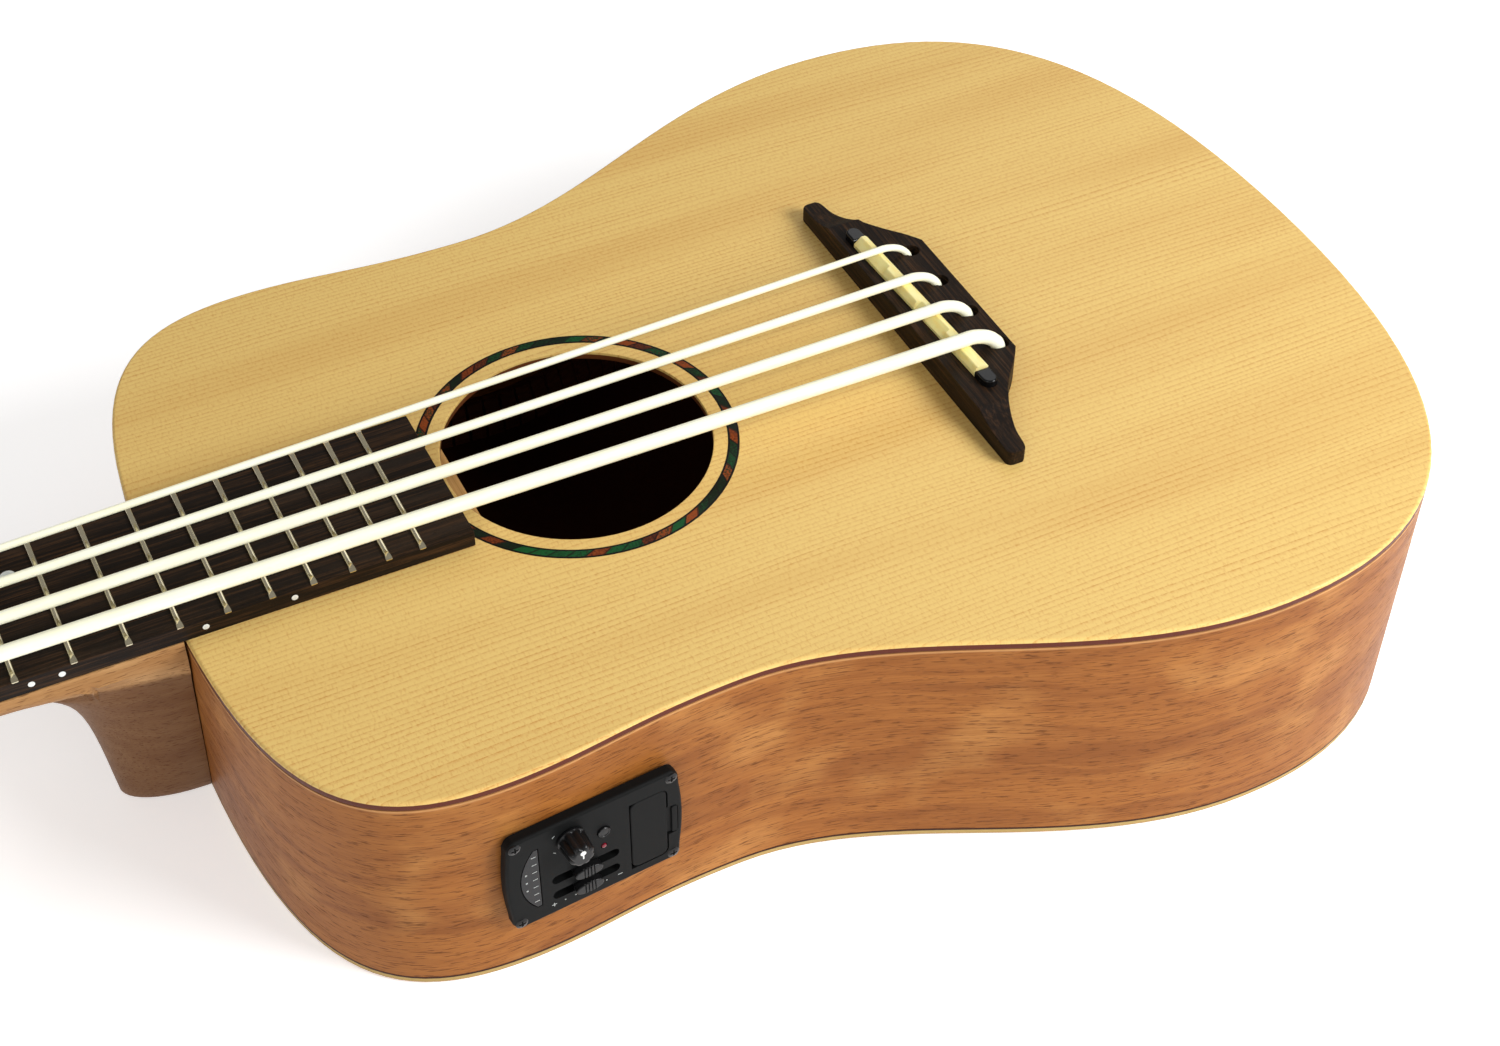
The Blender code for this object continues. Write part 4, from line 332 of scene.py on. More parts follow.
def rosewoodFinish(name, alongX=False):
    # very dark, with fine paler streaks
    look = {"dark": (21, 14, 9), "brown": (74, 50, 30), "grey": (58, 44, 33), "pore": (12, 8, 6)}
    f = Finish(name, {"Coat Roughness": 0.4, "Specular IOR Level": 0.14})
    x, y, z = f.axes(drawing)
    along, across = (x, y) if alongX else (y, x)
    streak = f.noise(f.vector(along * 0.03, across * 1.3, z * 1.3), 4.0, 0.7)
    broad = f.noise(f.vector(along * 0.01, across * 0.16, z * 0.16), 2.0)
    pore = f.noise(f.vector(along * 0.5, across * 5.0, z * 5.0), 1.0, 0.4).rise(0.60, 0.68)
    wood = f.mix(streak.rise(0.42, 0.78), colour(*look["dark"]), colour(*look["brown"]))
    wood = f.mix(broad.rise(0.5, 0.8) * 0.5, wood, colour(*look["grey"]))
    f.give("Base Color", f.mix(pore * 0.7, wood, colour(*look["pore"])))
    f.give("Roughness", 0.5 + 0.15 * streak - 0.05 * pore)
    f.give("Coat Weight", 0.012 * broad)
    f.bump(0.0 - pore - streak * 0.3, 0.00005, 0.5)
    return f.material


def rawWoodFinish(name, pale, line, alongX=False):
    f = Finish(name, {"Specular IOR Level": 0.3})
    x, y, z = f.axes(drawing)
    along, across = (x, y) if alongX else (y, x)
    ring = f.noise(f.vector(along * 0.01, across * 0.9, z * 0.9), 3.0, 0.6)
    fuzz = f.noise(f.vector(along * 0.4, across * 3.0, z * 3.0), 2.0, 0.6)
    f.give("Base Color", f.mix(ring.rise(0.35, 0.7) * 0.8 + fuzz * 0.15, colour(*pale), colour(*line)))
    f.give("Roughness", 0.72 + 0.15 * fuzz)
    f.bump(fuzz, 0.00005, 0.6)
    return f.material


def rosetteFinish():
    # a band of small slanted wood slips between two black lines
    look = {"slip": 5.2, "slant": 1.1, "middle": 46.2, "lines": (45.1, 47.3), "soft": 0.05,
            "joint": (14, 10, 8), "black": (10, 9, 8)}
    f = Finish("rosette band", {"Coat Roughness": 0.15, "Specular IOR Level": 0.12})
    x, y, z = f.axes(drawing)
    radius = (x * x + y * y) ** 0.5
    turned = f.node("ShaderNodeMath", {"operation": "ARCTAN2"}, {0: y, 1: x}) * look["middle"]
    place = (turned + (radius - look["middle"]) * look["slant"]) * (1 / look["slip"])
    number = place.maths("FLOOR")
    pick = f.node("ShaderNodeTexWhiteNoise", {"noise_dimensions": "1D"}, {"W": number})
    fleck = f.noise(f.vector(x * 1.6, y * 1.6, number * 3.1), 3.0, 0.7)
    stops = ((0.0, colour(10, 8, 6)), (0.22, colour(12, 32, 16)), (0.4, colour(14, 84, 40)),
             (0.52, colour(12, 40, 20)), (0.62, colour(150, 68, 22)), (0.78, colour(84, 34, 10)),
             (0.92, colour(12, 14, 8)))
    slips = f.node("ShaderNodeValToRGB", {"stops": stops}, {0: pick * 0.72 + fleck * 0.5 - 0.1})
    band = f.mix(place.fraction().rise(0.82, 0.9) * 0.8, slips, colour(*look["joint"]))
    inner, outer = (radius.rise(line - look["soft"], line + look["soft"]) for line in look["lines"])
    f.give("Base Color", f.mix((1 - inner).most(outer), band, colour(*look["black"])))
    f.give("Roughness", 0.25 + 0.15 * fleck)
    f.give("Coat Weight", 0.02 * fleck)
    return f.material


def boneFinish(name, pale, deep):
    f = Finish(name, {"Subsurface Weight": 0.12, "Coat Roughness": 0.15})
    x, y, z = f.axes(drawing)
    cloud = f.noise(f.vector(x * 0.18, y * 0.5, z * 0.5), 3.0)
    speck = f.noise(f.vector(x * 2.5, y * 4.0, z * 4.0), 2.0)
    f.give("Base Color", f.mix(cloud.rise(0.35, 0.7) * 0.7 + speck * 0.12, colour(*pale), colour(*deep)))
    f.give("Roughness", 0.3 + 0.12 * speck)
    f.bump(speck, 0.00001, 0.4)
    return f.material


def metalFinish(name, tint, rough, brushed):
    f = Finish(name)
    x, y, z = f.axes(drawing)
    hair = f.noise(f.vector(x * brushed[0], y * brushed[1], z * brushed[2]), 3.0, 0.65)
    dull = f.noise(f.vector(x * 0.25, y * 0.25, z * 0.25), 3.0)
    worn = [part * 0.82 for part in tint]
    f.give("Base Color", f.mix(dull.rise(0.35, 0.75) * 0.35, colour(*tint), colour(*worn)))
    f.give("Metallic", 1.0)
    f.give("Roughness", rough + 0.1 * hair + 0.08 * dull)
    f.bump(hair, 0.000006, 0.4)
    return f.material


def plasticFinish(name, tint, rough, grain=5.0, depth=0.000012, shine=0.3):
    f = Finish(name, {"Specular IOR Level": shine})
    x, y, z = f.axes(drawing)
    skin = f.noise(f.vector(x * grain, y * grain, z * grain), 2.0)
    worn = f.noise(f.vector(x * 0.12, y * 0.12, z * 0.12), 3.0)
    rubbed = [min(part * 1.35 + 4, 255) for part in tint]
    f.give("Base Color", f.mix(worn * 0.35, colour(*tint), colour(*rubbed)))
    f.give("Roughness", rough + 0.1 * skin + 0.06 * worn)
    f.bump(skin, depth, 0.5)
    return f.material


def stringFinish():
    # soft milky rubber, which lets a little light through; the faint emission in the glow colour is painted
    # light that brightens the strings
    look = {"pale": (255, 255, 236), "deep": (255, 252, 212), "glow": (255, 246, 196)}
    f = Finish("string", {
        "Subsurface Weight": 0.1, "Subsurface Radius": (0.002, 0.0018, 0.0014), "Coat Roughness": 0.2,
        "Emission Color": colour(*look["glow"]), "Emission Strength": 0.09})
    x, y, z = f.axes(drawing)
    cloud = f.noise(f.vector(x * 0.6, y * 0.05, z * 0.6), 2.0)
    grain = f.noise(f.vector(x * 6.0, y * 1.2, z * 6.0), 2.0)
    f.give("Base Color", f.mix(cloud.rise(0.3, 0.7) * 0.5, colour(*look["pale"]), colour(*look["deep"])))
    f.give("Roughness", 0.34 + 0.12 * grain)
    f.bump(grain, 0.00001, 0.35)
    return f.material


def circuitFinish():
    f = Finish("circuit board")
    x, y, z = f.axes(panelFrame)
    lines = abs((x * 0.55).fraction() - 0.5).rise(0.36, 0.42)
    cross = f.noise(f.vector(x * 0.25, y * 0.25, 0.0), 1.0).rise(0.5, 0.54)
    f.give("Base Color", f.mix(lines * cross, colour(20, 78, 46), colour(150, 132, 64)))
    f.give("Roughness", 0.35 + 0.2 * cross)
    return f.material


def lampFinish():
    f = Finish("lamp", {"Transmission Weight": 0.2, "Emission Strength": 0.05})
    x, y, z = f.axes(panelFrame)
    glow = f.noise(f.vector(x * 1.5, y * 1.5, z * 1.5), 2.0)
    f.give("Base Color", f.mix(glow, colour(96, 12, 30), colour(150, 26, 48)))
    f.give("Emission Color", f.mix(glow, colour(60, 4, 14), colour(110, 14, 30)))
    f.give("Roughness", 0.12 + 0.1 * glow)
    return f.material


finishes = {
    "top": spruceTopFinish(),
    "side": mahoganySideFinish(),
    "back": backFinish(),
    "neck": neckFinish(),
    "board": rosewoodFinish("rosewood board"),
    "bridge": rosewoodFinish("rosewood bridge", True),
    "rosette": rosetteFinish(),
    "brace": rawWoodFinish("spruce brace", (206, 160, 98), (170, 122, 66), True),
    "lining": rawWoodFinish("lining wood", (104, 54, 30), (74, 36, 20)),
    "block": rawWoodFinish("block wood", (166, 112, 70), (128, 80, 46)),
    "bone": boneFinish("bone", (255, 240, 168), (252, 222, 134)),
    "dot": boneFinish("dot", (244, 244, 238), (222, 224, 220)),
    "print": boneFinish("panel print", (176, 180, 176), (160, 164, 160)),
    "nickel": metalFinish("nickel", (206, 204, 198), 0.16, (3.0, 3.0, 3.0)),
    "fret": metalFinish("fret nickel", (226, 216, 186), 0.06, (0.2, 2.0, 2.0)),
    "steel": metalFinish("steel", (186, 188, 190), 0.22, (4.0, 4.0, 4.0)),
    "brass": metalFinish("brass", (196, 158, 84), 0.3, (1.0, 6.0, 6.0)),
    "string": stringFinish(),
    "plastic": plasticFinish("black plastic", (14, 15, 15), 0.5, shine=0.1),
    "control": plasticFinish("control plastic", (15, 15, 16), 0.24, 3.0, 0.000004),
    "gloss": plasticFinish("gloss black", (12, 12, 13), 0.06, 2.0, 0.000002),
    "window": plasticFinish("display window", (14, 15, 18), 0.08, 2.0, 0.000002),
    "lead": plasticFinish("lead sleeve", (22, 22, 24), 0.5),
    "circuit": circuitFinish(),
    "lamp": lampFinish(),
}
print("finishes ready:", len(finishes))


# Mesh helpers
def addPiece(name, bm, matrix, finish, rides="body", stands=(), crease=32.0):
    bmesh.ops.transform(bm, matrix=matrix, verts=bm.verts)
    bmesh.ops.recalc_face_normals(bm, faces=bm.faces)
    limit = math.radians(crease)
    for face in bm.faces:
        face.smooth = True
    for edge in bm.edges:
        edge.smooth = len(edge.link_faces) == 2 and edge.calc_face_angle(0.0) < limit
    mesh = bpy.data.meshes.new(name)
    bm.to_mesh(mesh)
    bm.free()
    mesh.materials.append(finishes[finish])
    piece = bpy.data.objects.new(name, mesh)
    bpy.context.scene.collection.objects.link(piece)
    even = piece.modifiers.new("even shading", "WEIGHTED_NORMAL")
    even.keep_sharp = True
    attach(piece, rides)
    if stands:
        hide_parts(*stands)


def slab(outline, low, high):           # an upright block over an outline
    bm = bmesh.new()
    face = bm.faces.new([bm.verts.new((p[0], p[1], low)) for p in outline])
    made = bmesh.ops.extrude_face_region(bm, geom=[face])
    raised = [v for v in made["geom"] if isinstance(v, bmesh.types.BMVert)]
    bmesh.ops.translate(bm, vec=(0, 0, high - low), verts=raised)
    bmesh.ops.recalc_face_normals(bm, faces=bm.faces)
    return bm


def bridgeRings(rings):                 # a skin over a row of rings, closed at both ends
    bm = bmesh.new()
    loops = []
    for ring in rings:
        verts = [bm.verts.new(p) for p in ring]
        loops.append([bm.edges.new((v, verts[(i + 1) % len(verts)])) for i, v in enumerate(verts)])
    for first, second in zip(loops, loops[1:]):
        bmesh.ops.bridge_loops(bm, edges=first + second)
    bmesh.ops.edgeloop_fill(bm, edges=loops[0])
    bmesh.ops.edgeloop_fill(bm, edges=loops[-1])
    bmesh.ops.recalc_face_normals(bm, faces=bm.faces)
    return bm


def turn(profile, steps=48, closed=False):
    # spins a profile of (radius, height) about the upright axis
    bm = bmesh.new()
    verts = [bm.verts.new((radius, 0, height)) for radius, height in profile]
    edges = [bm.edges.new(pair) for pair in zip(verts, verts[1:])]
    if closed:
        edges.append(bm.edges.new((verts[-1], verts[0])))
    bmesh.ops.spin(bm, geom=verts + edges, axis=(0, 0, 1), angle=math.tau, steps=steps, use_merge=True)
    bmesh.ops.remove_doubles(bm, verts=bm.verts, dist=0.001)
    bmesh.ops.recalc_face_normals(bm, faces=bm.faces)
    return bm


def above(level):                       # picks the edges that lie wholly above a height
    return lambda edge: min(vert.co.z for vert in edge.verts) > level


def roundEdges(bm, width, segments=2, where=None, angle=50.0):
    limit = math.radians(angle)
    edges = [e for e in bm.edges if len(e.link_faces) == 2 and e.calc_face_angle(0.0) > limit
             and (where is None or where(e))]
    bmesh.ops.bevel(bm, geom=edges, offset=width, offset_type="OFFSET", affect="EDGES",
                    segments=segments, profile=0.5, material=-1, clamp_overlap=True)


def looseObject(bm):
    mesh = bpy.data.meshes.new("loose")
    bm.to_mesh(mesh)
    bm.free()
    made = bpy.data.objects.new("loose", mesh)
    bpy.context.scene.collection.objects.link(made)
    return made


def carve(bm, tools, operation="DIFFERENCE"):
    # cuts each tool out of bm, or joins it, and gives the result back as a bmesh
    block = looseObject(bm)
    others = [looseObject(tool) for tool in tools]
    for other in others:
        step = block.modifiers.new("carve", "BOOLEAN")
        step.operation = operation
        step.solver = "EXACT"
        step.object = other
    bpy.context.view_layer.update()
    finished = block.evaluated_get(bpy.context.evaluated_depsgraph_get())
    result = bmesh.new()
    result.from_mesh(finished.to_mesh())
    finished.to_mesh_clear()
    for made in [block] + others:
        mesh = made.data
        bpy.data.objects.remove(made)
        bpy.data.meshes.remove(mesh)
    return result


def join(*parts):
    # several closed shells in one bmesh
    whole = bmesh.new()
    for part in parts:
        mesh = bpy.data.meshes.new("part")
        part.to_mesh(mesh)
        part.free()
        whole.from_mesh(mesh)
        bpy.data.meshes.remove(mesh)
    return whole


def moved(bm, matrix):
    bmesh.ops.transform(bm, matrix=matrix, verts=bm.verts)
    if matrix.determinant() < 0:
        bmesh.ops.reverse_faces(bm, faces=bm.faces)
    return bm


def shifted(bm, x, y, z):
    return moved(bm, Matrix.Translation((x, y, z)))


def circle(radius, steps=32, centre=(0, 0)):
    return [(centre[0] + radius * math.cos(math.tau * i / steps),
             centre[1] + radius * math.sin(math.tau * i / steps)) for i in range(steps)]


def roundedBox(length, width, corner, centre=(0, 0), steps=5):
    points = []
    for sx, sy, start in ((1, 1, 0), (-1, 1, 90), (-1, -1, 180), (1, -1, 270)):
        for i in range(steps + 1):
            angle = math.radians(start + 90 * i / steps)
            points.append((centre[0] + sx * (length / 2 - corner) + corner * math.cos(angle),
                           centre[1] + sy * (width / 2 - corner) + corner * math.sin(angle)))
    return points


def curvePoints(controls, per=6):
    # an even curve through the control points
    points = [Vector(c) for c in controls]
    padded = [2 * points[0] - points[1]] + points + [2 * points[-1] - points[-2]]
    found = []
    for a, b, c, d in zip(padded, padded[1:], padded[2:], padded[3:]):
        for i in range(per):
            t = i / per
            found.append(0.5 * (2 * b + (c - a) * t + (2 * a - 5 * b + 4 * c - d) * t * t
                                + (3 * b - a - 3 * c + d) * t ** 3))
    return found + [points[-1]]


def tube(points, radius, roundness=5):
    curve = bpy.data.curves.new("line", "CURVE")
    curve.dimensions = "3D"
    curve.bevel_depth = radius
    curve.bevel_resolution = roundness
    curve.use_fill_caps = True
    spline = curve.splines.new("POLY")
    spline.points.add(len(points) - 1)
    for point, place in zip(spline.points, points):
        point.co = (*place, 1)
    holder = bpy.data.objects.new("line", curve)
    bpy.context.scene.collection.objects.link(holder)
    bpy.context.view_layer.update()
    mesh = holder.evaluated_get(bpy.context.evaluated_depsgraph_get()).to_mesh()
    bm = bmesh.new()
    bm.from_mesh(mesh)
    bpy.data.objects.remove(holder)
    bpy.data.curves.remove(curve)
    bmesh.ops.remove_doubles(bm, verts=bm.verts, dist=0.001)
    bmesh.ops.recalc_face_normals(bm, faces=bm.faces)
    return bm


def softened(node, finish, width):
    # a solid's own shape with its edges eased
    bm = bmesh.new()
    bm.from_mesh(frame["nodes"][node].data)
    bmesh.ops.scale(bm, vec=[1 / mm] * 3, verts=bm.verts)
    bmesh.ops.remove_doubles(bm, verts=bm.verts, dist=0.002)
    bmesh.ops.dissolve_limit(bm, angle_limit=math.radians(2), verts=bm.verts, edges=bm.edges)
    roundEdges(bm, width, 2, None, 40)
    addPiece(node + "Shaped", bm, Matrix.Scale(mm, 4), finish, frame["nodes"][node]["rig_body"], (node,))


# Body outline
def halfLine(offset=0.0, steps=26):
    # treble half of the outline from the tail to the neck, moved inwards by offset
    b = body
    tailRun = b["lowerY"] - b["tailY"]
    lowRun = b["waistY"] - b["lowerY"]
    upRun = b["upperY"] - b["waistY"]
    neckRun = b["jointY"] - b["upperY"]
    # four curves, each with its two ends and the handles between them
    handles = (
        ((0, b["tailY"]), (b["lower"] * 0.759, b["tailY"]),
         (b["lower"], b["lowerY"] - tailRun * 0.605), (b["lower"], b["lowerY"])),
        ((b["lower"], b["lowerY"]), (b["lower"], b["lowerY"] + lowRun * 0.401),
         (b["waist"], b["waistY"] - lowRun * 0.327), (b["waist"], b["waistY"])),
        ((b["waist"], b["waistY"]), (b["waist"], b["waistY"] + upRun * 0.480),
         (b["upper"], b["upperY"] - upRun * 0.331), (b["upper"], b["upperY"])),
        ((b["upper"], b["upperY"]), (b["upper"], b["upperY"] + neckRun * 0.688),
         (b["upper"] * 0.812, b["jointY"]), (0, b["jointY"])))
    points = []
    for number, handle in enumerate(handles):
        p = [Vector(h) for h in handle]
        for i in range(steps + (number == 3)):
            t = i / steps
            u = 1 - t
            place = p[0] * u ** 3 + 3 * p[1] * u * u * t + 3 * p[2] * u * t * t + p[3] * t ** 3
            ahead = (p[1] - p[0]) * u * u + 2 * (p[2] - p[1]) * u * t + (p[3] - p[2]) * t * t
            ahead.normalize()
            points.append(place + Vector((-ahead.y, ahead.x)) * offset)
    return points


def wholeLine(offset=0.0, steps=26):
    half = halfLine(offset, steps)
    return half + [Vector((-p.x, p.y)) for p in half[1:-1]][::-1]


def stringX(index, y):
    share = (scale["nutY"] - y) / (scale["nutY"] - strings["bridgeLine"])
    return (index - 1.5) * (strings["atNut"] + (strings["atBridge"] - strings["atNut"]) * share)


bridge = {
    "length": 131.0, "shoulder": 93.2, "depth": 24.0, "height": 9.0, "tip": 5.0, "wingFall": 2.6,
    "frontY": -108.19, "saddleY": -112.49, "saddleLength": 70.0, "saddleWidth": 4.7, "saddleTop": 12.0,
    "slant": 2.9, "slotDepth": 6.0, "slotEnds": 13.4,
    "holeRadius": 2.6, "holeBack": 19.5, "holeSlant": 2.6,      # the strings' holes behind the saddle
}


def saddleLine(x):
    return bridge["saddleY"] + bridge["slant"] * x / bridge["saddleLength"]


def stringHole(index):
    y = bridge["frontY"] - bridge["holeBack"]
    x = stringX(index, y)
    return x, y + bridge["holeSlant"] * x / (strings["atBridge"] * 3)


def makeTop():
    top = {"edge": 1.1, "underEdge": 0.35, "holeEdge": 0.45, "stringHole": 2.9, "gap": 0.05}
    band = {"low": -1.15, "crown": 0.04, "bevel": 0.15}
    inner, outer = body["ringInner"], body["ringOuter"]
    wideIn, wideOut = inner - top["gap"], outer + top["gap"]
    bm = slab(wholeLine(), -body["top"], 0.0)
    roundEdges(bm, top["edge"], 3, above(-0.1))
    roundEdges(bm, top["underEdge"], 1)
    seat = ((wideIn, -body["ringDepth"]), (wideOut, -body["ringDepth"]), (wideOut, 1), (wideIn, 1))
    tools = [slab(circle(body["holeRadius"], 96), -5, 3), turn(seat, 96, True)]
    tools += [slab(circle(top["stringHole"], 16, stringHole(i)), -5, 3) for i in range(4)]
    bm = carve(bm, tools)

    def atHole(edge):
        return all(abs(Vector(v.co[:2]).length - body["holeRadius"]) < 0.05 for v in edge.verts)
    roundEdges(bm, top["holeEdge"], 2, atHole)
    addPiece("soundTop", bm, drawing, "top", stands=("soundboard",))
    ring = ((inner, band["low"]), (outer, band["low"]), (outer, 0.0), (outer - band["bevel"], band["crown"]),
            (inner + band["bevel"], band["crown"]), (inner, 0.0))
    addPiece("rosetteBand", turn(ring, 120, True), drawing, "rosette", stands=("rosette",))


def makeBack():
    bm = slab(wholeLine(), 0.0, body["back"])
    roundEdges(bm, 1.0, 3, lambda edge: max(vert.co.z for vert in edge.verts) < 0.1)
    for vert in bm.verts:
        vert.co.z += backLevel(vert.co.y)
    addPiece("backPlate", bm, drawing, "back", stands=("back_plate",))


def runLengths(line):                   # how far along a line each of its points lies
    lengths = [0.0]
    for a, b in zip(line, line[1:]):
        lengths.append(lengths[-1] + (b - a).length)
    return lengths


def wrapUV(bm, line):
    # lays the strip's own lengthways and upright millimetres on its faces
    tree = KDTree(len(line))
    lengths = runLengths(line)
    for number, place in enumerate(line):
        tree.insert((place.x, place.y, 0), number)
    tree.balance()
    layer = bm.loops.layers.uv.new("wrap")
    for face in bm.faces:
        for loop in face.loops:
            x, y, z = loop.vert.co
            number = tree.find((x, y, 0))[1]
            before = max(number - 1, 0)
            ahead = (line[min(before + 2, len(line) - 1)] - line[before]).normalized()
            loop[layer].uv = (lengths[number] + (Vector((x, y)) - line[number]).dot(ahead), z)
    bmesh.ops.triangulate(bm, faces=[f for f in bm.faces if len(f.verts) > 12])


def makeSides():
    sides = {"gap": 0.1, "seam": 0.06, "jackHole": 6.2, "housing": (44.6, 30.6), "corner": 1.0}
    outer = halfLine(0.0, 40)
    top = -body["top"] - sides["gap"]
    for sign, name in ((-1, "bass"), (1, "treble")):
        rings = []
        for out, back in zip(outer, halfLine(body["side"], 40)):
            low, lowIn = (backLevel(p.y) + body["back"] + sides["gap"] for p in (out, back))
            x, xIn = (max(p.x, sides["seam"]) * sign for p in (out, back))
            rings.append([(x, out.y, top), (x, out.y, low), (xIn, back.y, lowIn), (xIn, back.y, top)])
        tools = [moved(slab(circle(sides["jackHole"], 32), -10, 10), tailFace)]
        if name == "bass":
            tools.append(moved(slab(roundedBox(*sides["housing"], sides["corner"]), -12, 12), panelLocal))
        bm = carve(bridgeRings(rings), tools)
        wrapUV(bm, [Vector((p.x * sign, p.y)) for p in outer])
        addPiece("side" + name.capitalize(), bm, drawing, "side", stands=("side_" + name,))


def makeLinings():
    # a notched strip along each inner corner: block, kerf, block
    kerfed = {"pitch": 6.0, "kerf": 1.0, "wall": 0.02, "thick": 5.5, "thin": 1.3, "far": 2.6,
              "height": 14.0, "square": 0.45, "gap": 0.3, "seat": 0.2, "tailX": 35.8, "neckX": 30.8}
    line = halfLine(body["side"] + kerfed["gap"], 60)
    lengths = runLengths(line)
    blockEnd = kerfed["pitch"] - kerfed["kerf"]
    stations = ((0, "thick"), (blockEnd, "thick"), (blockEnd + kerfed["wall"], "thin"),
                (kerfed["pitch"] - kerfed["wall"], "thin"))

    def along(distance, offset):
        number = max(i for i, value in enumerate(lengths[:-1]) if value <= distance)
        step = line[number + 1] - line[number]
        place = line[number] + step * ((distance - lengths[number]) / step.length)
        step.normalize()
        return place + Vector((-step.y, step.x)) * offset

    start = next(length for p, length in zip(line, lengths) if p.x > kerfed["tailX"])
    stop = next(length for p, length in zip(line[::-1], lengths[::-1]) if p.x > kerfed["neckX"])
    for sign, side in ((-1, "bass"), (1, "treble")):
        for kind, reach in (("top", -kerfed["height"]), ("back", kerfed["height"])):
            rings = []
            distance = start
            while distance + kerfed["pitch"] < stop:
                for place, section in stations:
                    deep = kerfed[section]
                    far = kerfed["far"] if section == "thick" else deep
                    p, q, r = (along(distance + place, offset) for offset in (0.0, deep, far))
                    base = -body["top"] - kerfed["seat"]
                    if kind == "back":
                        base = backLevel(p.y) + body["back"] + kerfed["seat"]
                    rings.append([(p.x * sign, p.y, base), (q.x * sign, q.y, base),
                                  (q.x * sign, q.y, base + reach * kerfed["square"]),
                                  (r.x * sign, r.y, base + reach), (p.x * sign, p.y, base + reach)])
                distance += kerfed["pitch"]
            strip = bridgeRings(rings)
            addPiece(kind + "Lining" + side.capitalize(), strip, drawing, "lining",
                     stands=(kind + "_lining_" + side,), crease=25)


makeTop()
makeBack()
makeSides()
makeLinings()
for node in ("neck_block", "tail_block"):
    softened(node, "block", 0.8)
for node in ("upper_brace", "lower_brace", "tail_brace", "back_brace_upper", "back_brace_lower",
             "fingerboard_patch"):
    softened(node, "brace", 0.7)
softened("bridge_plate", "block", 0.4)
print("sound box done")


# Neck
neck = {
    "halfAtNut": 22.5, "halfAtEnd": 26.9, "boardEnd": 42.6, "depthAtNut": 14.5, "depthAtHeel": 16.8,
    "flankAtNut": 2.5, "flankAtHeel": 12.0, "flankRun": 46.0,       # depth of the straight flanks
    "roundness": 1.75, "start": 127.3, "butt": 0.26, "seat": 0.3, "nutSeat": 5.0,
    "rodWidth": 6.2, "rodLength": 260.6, "rodDepth": 8.7, "rodFromNut": 136.0,
}
heel = {
    "bottom": 27.0, "undercut": 1.6, "undercutRun": 2.0, "nose": 24.5, "lean": 4.5,
    "cove": 19.0, "coveFade": 6.0, "coveRun": 30.0,
    "plan": 2.2, "floor": 16,                                       # how square its nose and its floor are
}


def boardHalf(y):
    share = (scale["nutY"] - y) / (scale["nutY"] - neck["boardEnd"])
    return neck["halfAtNut"] + (neck["halfAtEnd"] - neck["halfAtNut"]) * share


def clamp(value):
    return min(max(value, 0.0), 1.0)


def noseReach(depth):                   # how far the heel reaches along the neck at a depth
    share = clamp((depth - neck["depthAtHeel"]) / (body["depthAtJoint"] - neck["depthAtHeel"]))
    lean = heel["lean"] * (1 - share)
    return neck["start"] + heel["nose"] + lean + heel["cove"] * math.exp(-heel["coveFade"] * share)


def neckDepth(y):
    share = (y - body["jointY"]) / (scale["nutY"] - body["jointY"])
    shaft = neck["depthAtHeel"] + (neck["depthAtNut"] - neck["depthAtHeel"]) * share
    floor = -backLevel(y) - neck["seat"]
    if y <= noseReach(body["depthAtJoint"]):
        return floor
    if y >= noseReach(neck["depthAtHeel"]):
        return shaft
    low, high = neck["depthAtHeel"], body["depthAtJoint"]
    for step in range(40):              # halves the span round the depth where the nose ends
        middle = (low + high) / 2
        low, high = (middle, high) if noseReach(middle) > y else (low, middle)
    return max(min(low, floor), shaft)


def bothSides(side, y):                 # a section's right half and its mirror image
    return [(x, y, z) for x, z in side] + [(-x, y, z) for x, z in side[:-1]][::-1]


def neckRing(y, half, depth, flank, steps=20):
    # the shaft's rounded section, or the heel's narrower one where that reaches further
    power, plan, floor = neck["roundness"], heel["plan"], heel["floor"]
    low = min(depth, neck["depthAtHeel"])
    side = [(half, 0.0)]
    for i in range(1, steps + 1):
        level = depth * (1 - (1 - i / steps) ** 1.7)                # closer steps towards the bottom
        bow = clamp((level - flank) / (low - flank))
        width = half * (1 - bow ** power) ** (1 / power)
        if depth > neck["depthAtHeel"]:
            taper = clamp((level - flank) / (body["depthAtJoint"] - flank))
            wide = (half - heel["undercut"] * clamp((level - flank) / heel["undercutRun"])
                    - (half - heel["bottom"] / 2) * taper)
            share = clamp((y - neck["start"]) / (noseReach(level) - neck["start"]))
            wide *= (1 - share ** plan) ** (1 / plan) * (1 - (level / depth) ** floor) ** (1 / floor)
            width = max(width, wide)
        side.append((width, -level))
    side[-1] = (0.0, -depth)
    return bothSides(side, y)


def headHalf(along):
    if along < head["wideY"]:
        share = clamp((along - head["flareY"]) / (head["wideY"] - head["flareY"]))
        half = head["nutHalf"] + (head["wideHalf"] - head["nutHalf"]) * share * share * (3 - 2 * share)
    else:
        share = (along - head["wideY"]) / (head["length"] - head["wideY"])
        half = head["wideHalf"] + (head["endHalf"] - head["wideHalf"]) * share
    into = max(along - head["cornerY"], 0) / head["cornerRun"]
    return half * math.sqrt(max(1 - into * into, 0))


def headStations(*places):              # the given places, then closer ones round the head's end
    end = head["length"] - head["cornerY"]
    shares = (0.2, 0.4, 0.56, 0.7, 0.8, 0.88, 0.94, 0.98, 1.0)
    return list(places) + [head["cornerY"] + end * share for share in shares]


def postHoles(low, high):
    return [slab(circle(head["postHole"], 32, (side * across, along)), low, high)
            for side, along, across in postPlaces.values()]


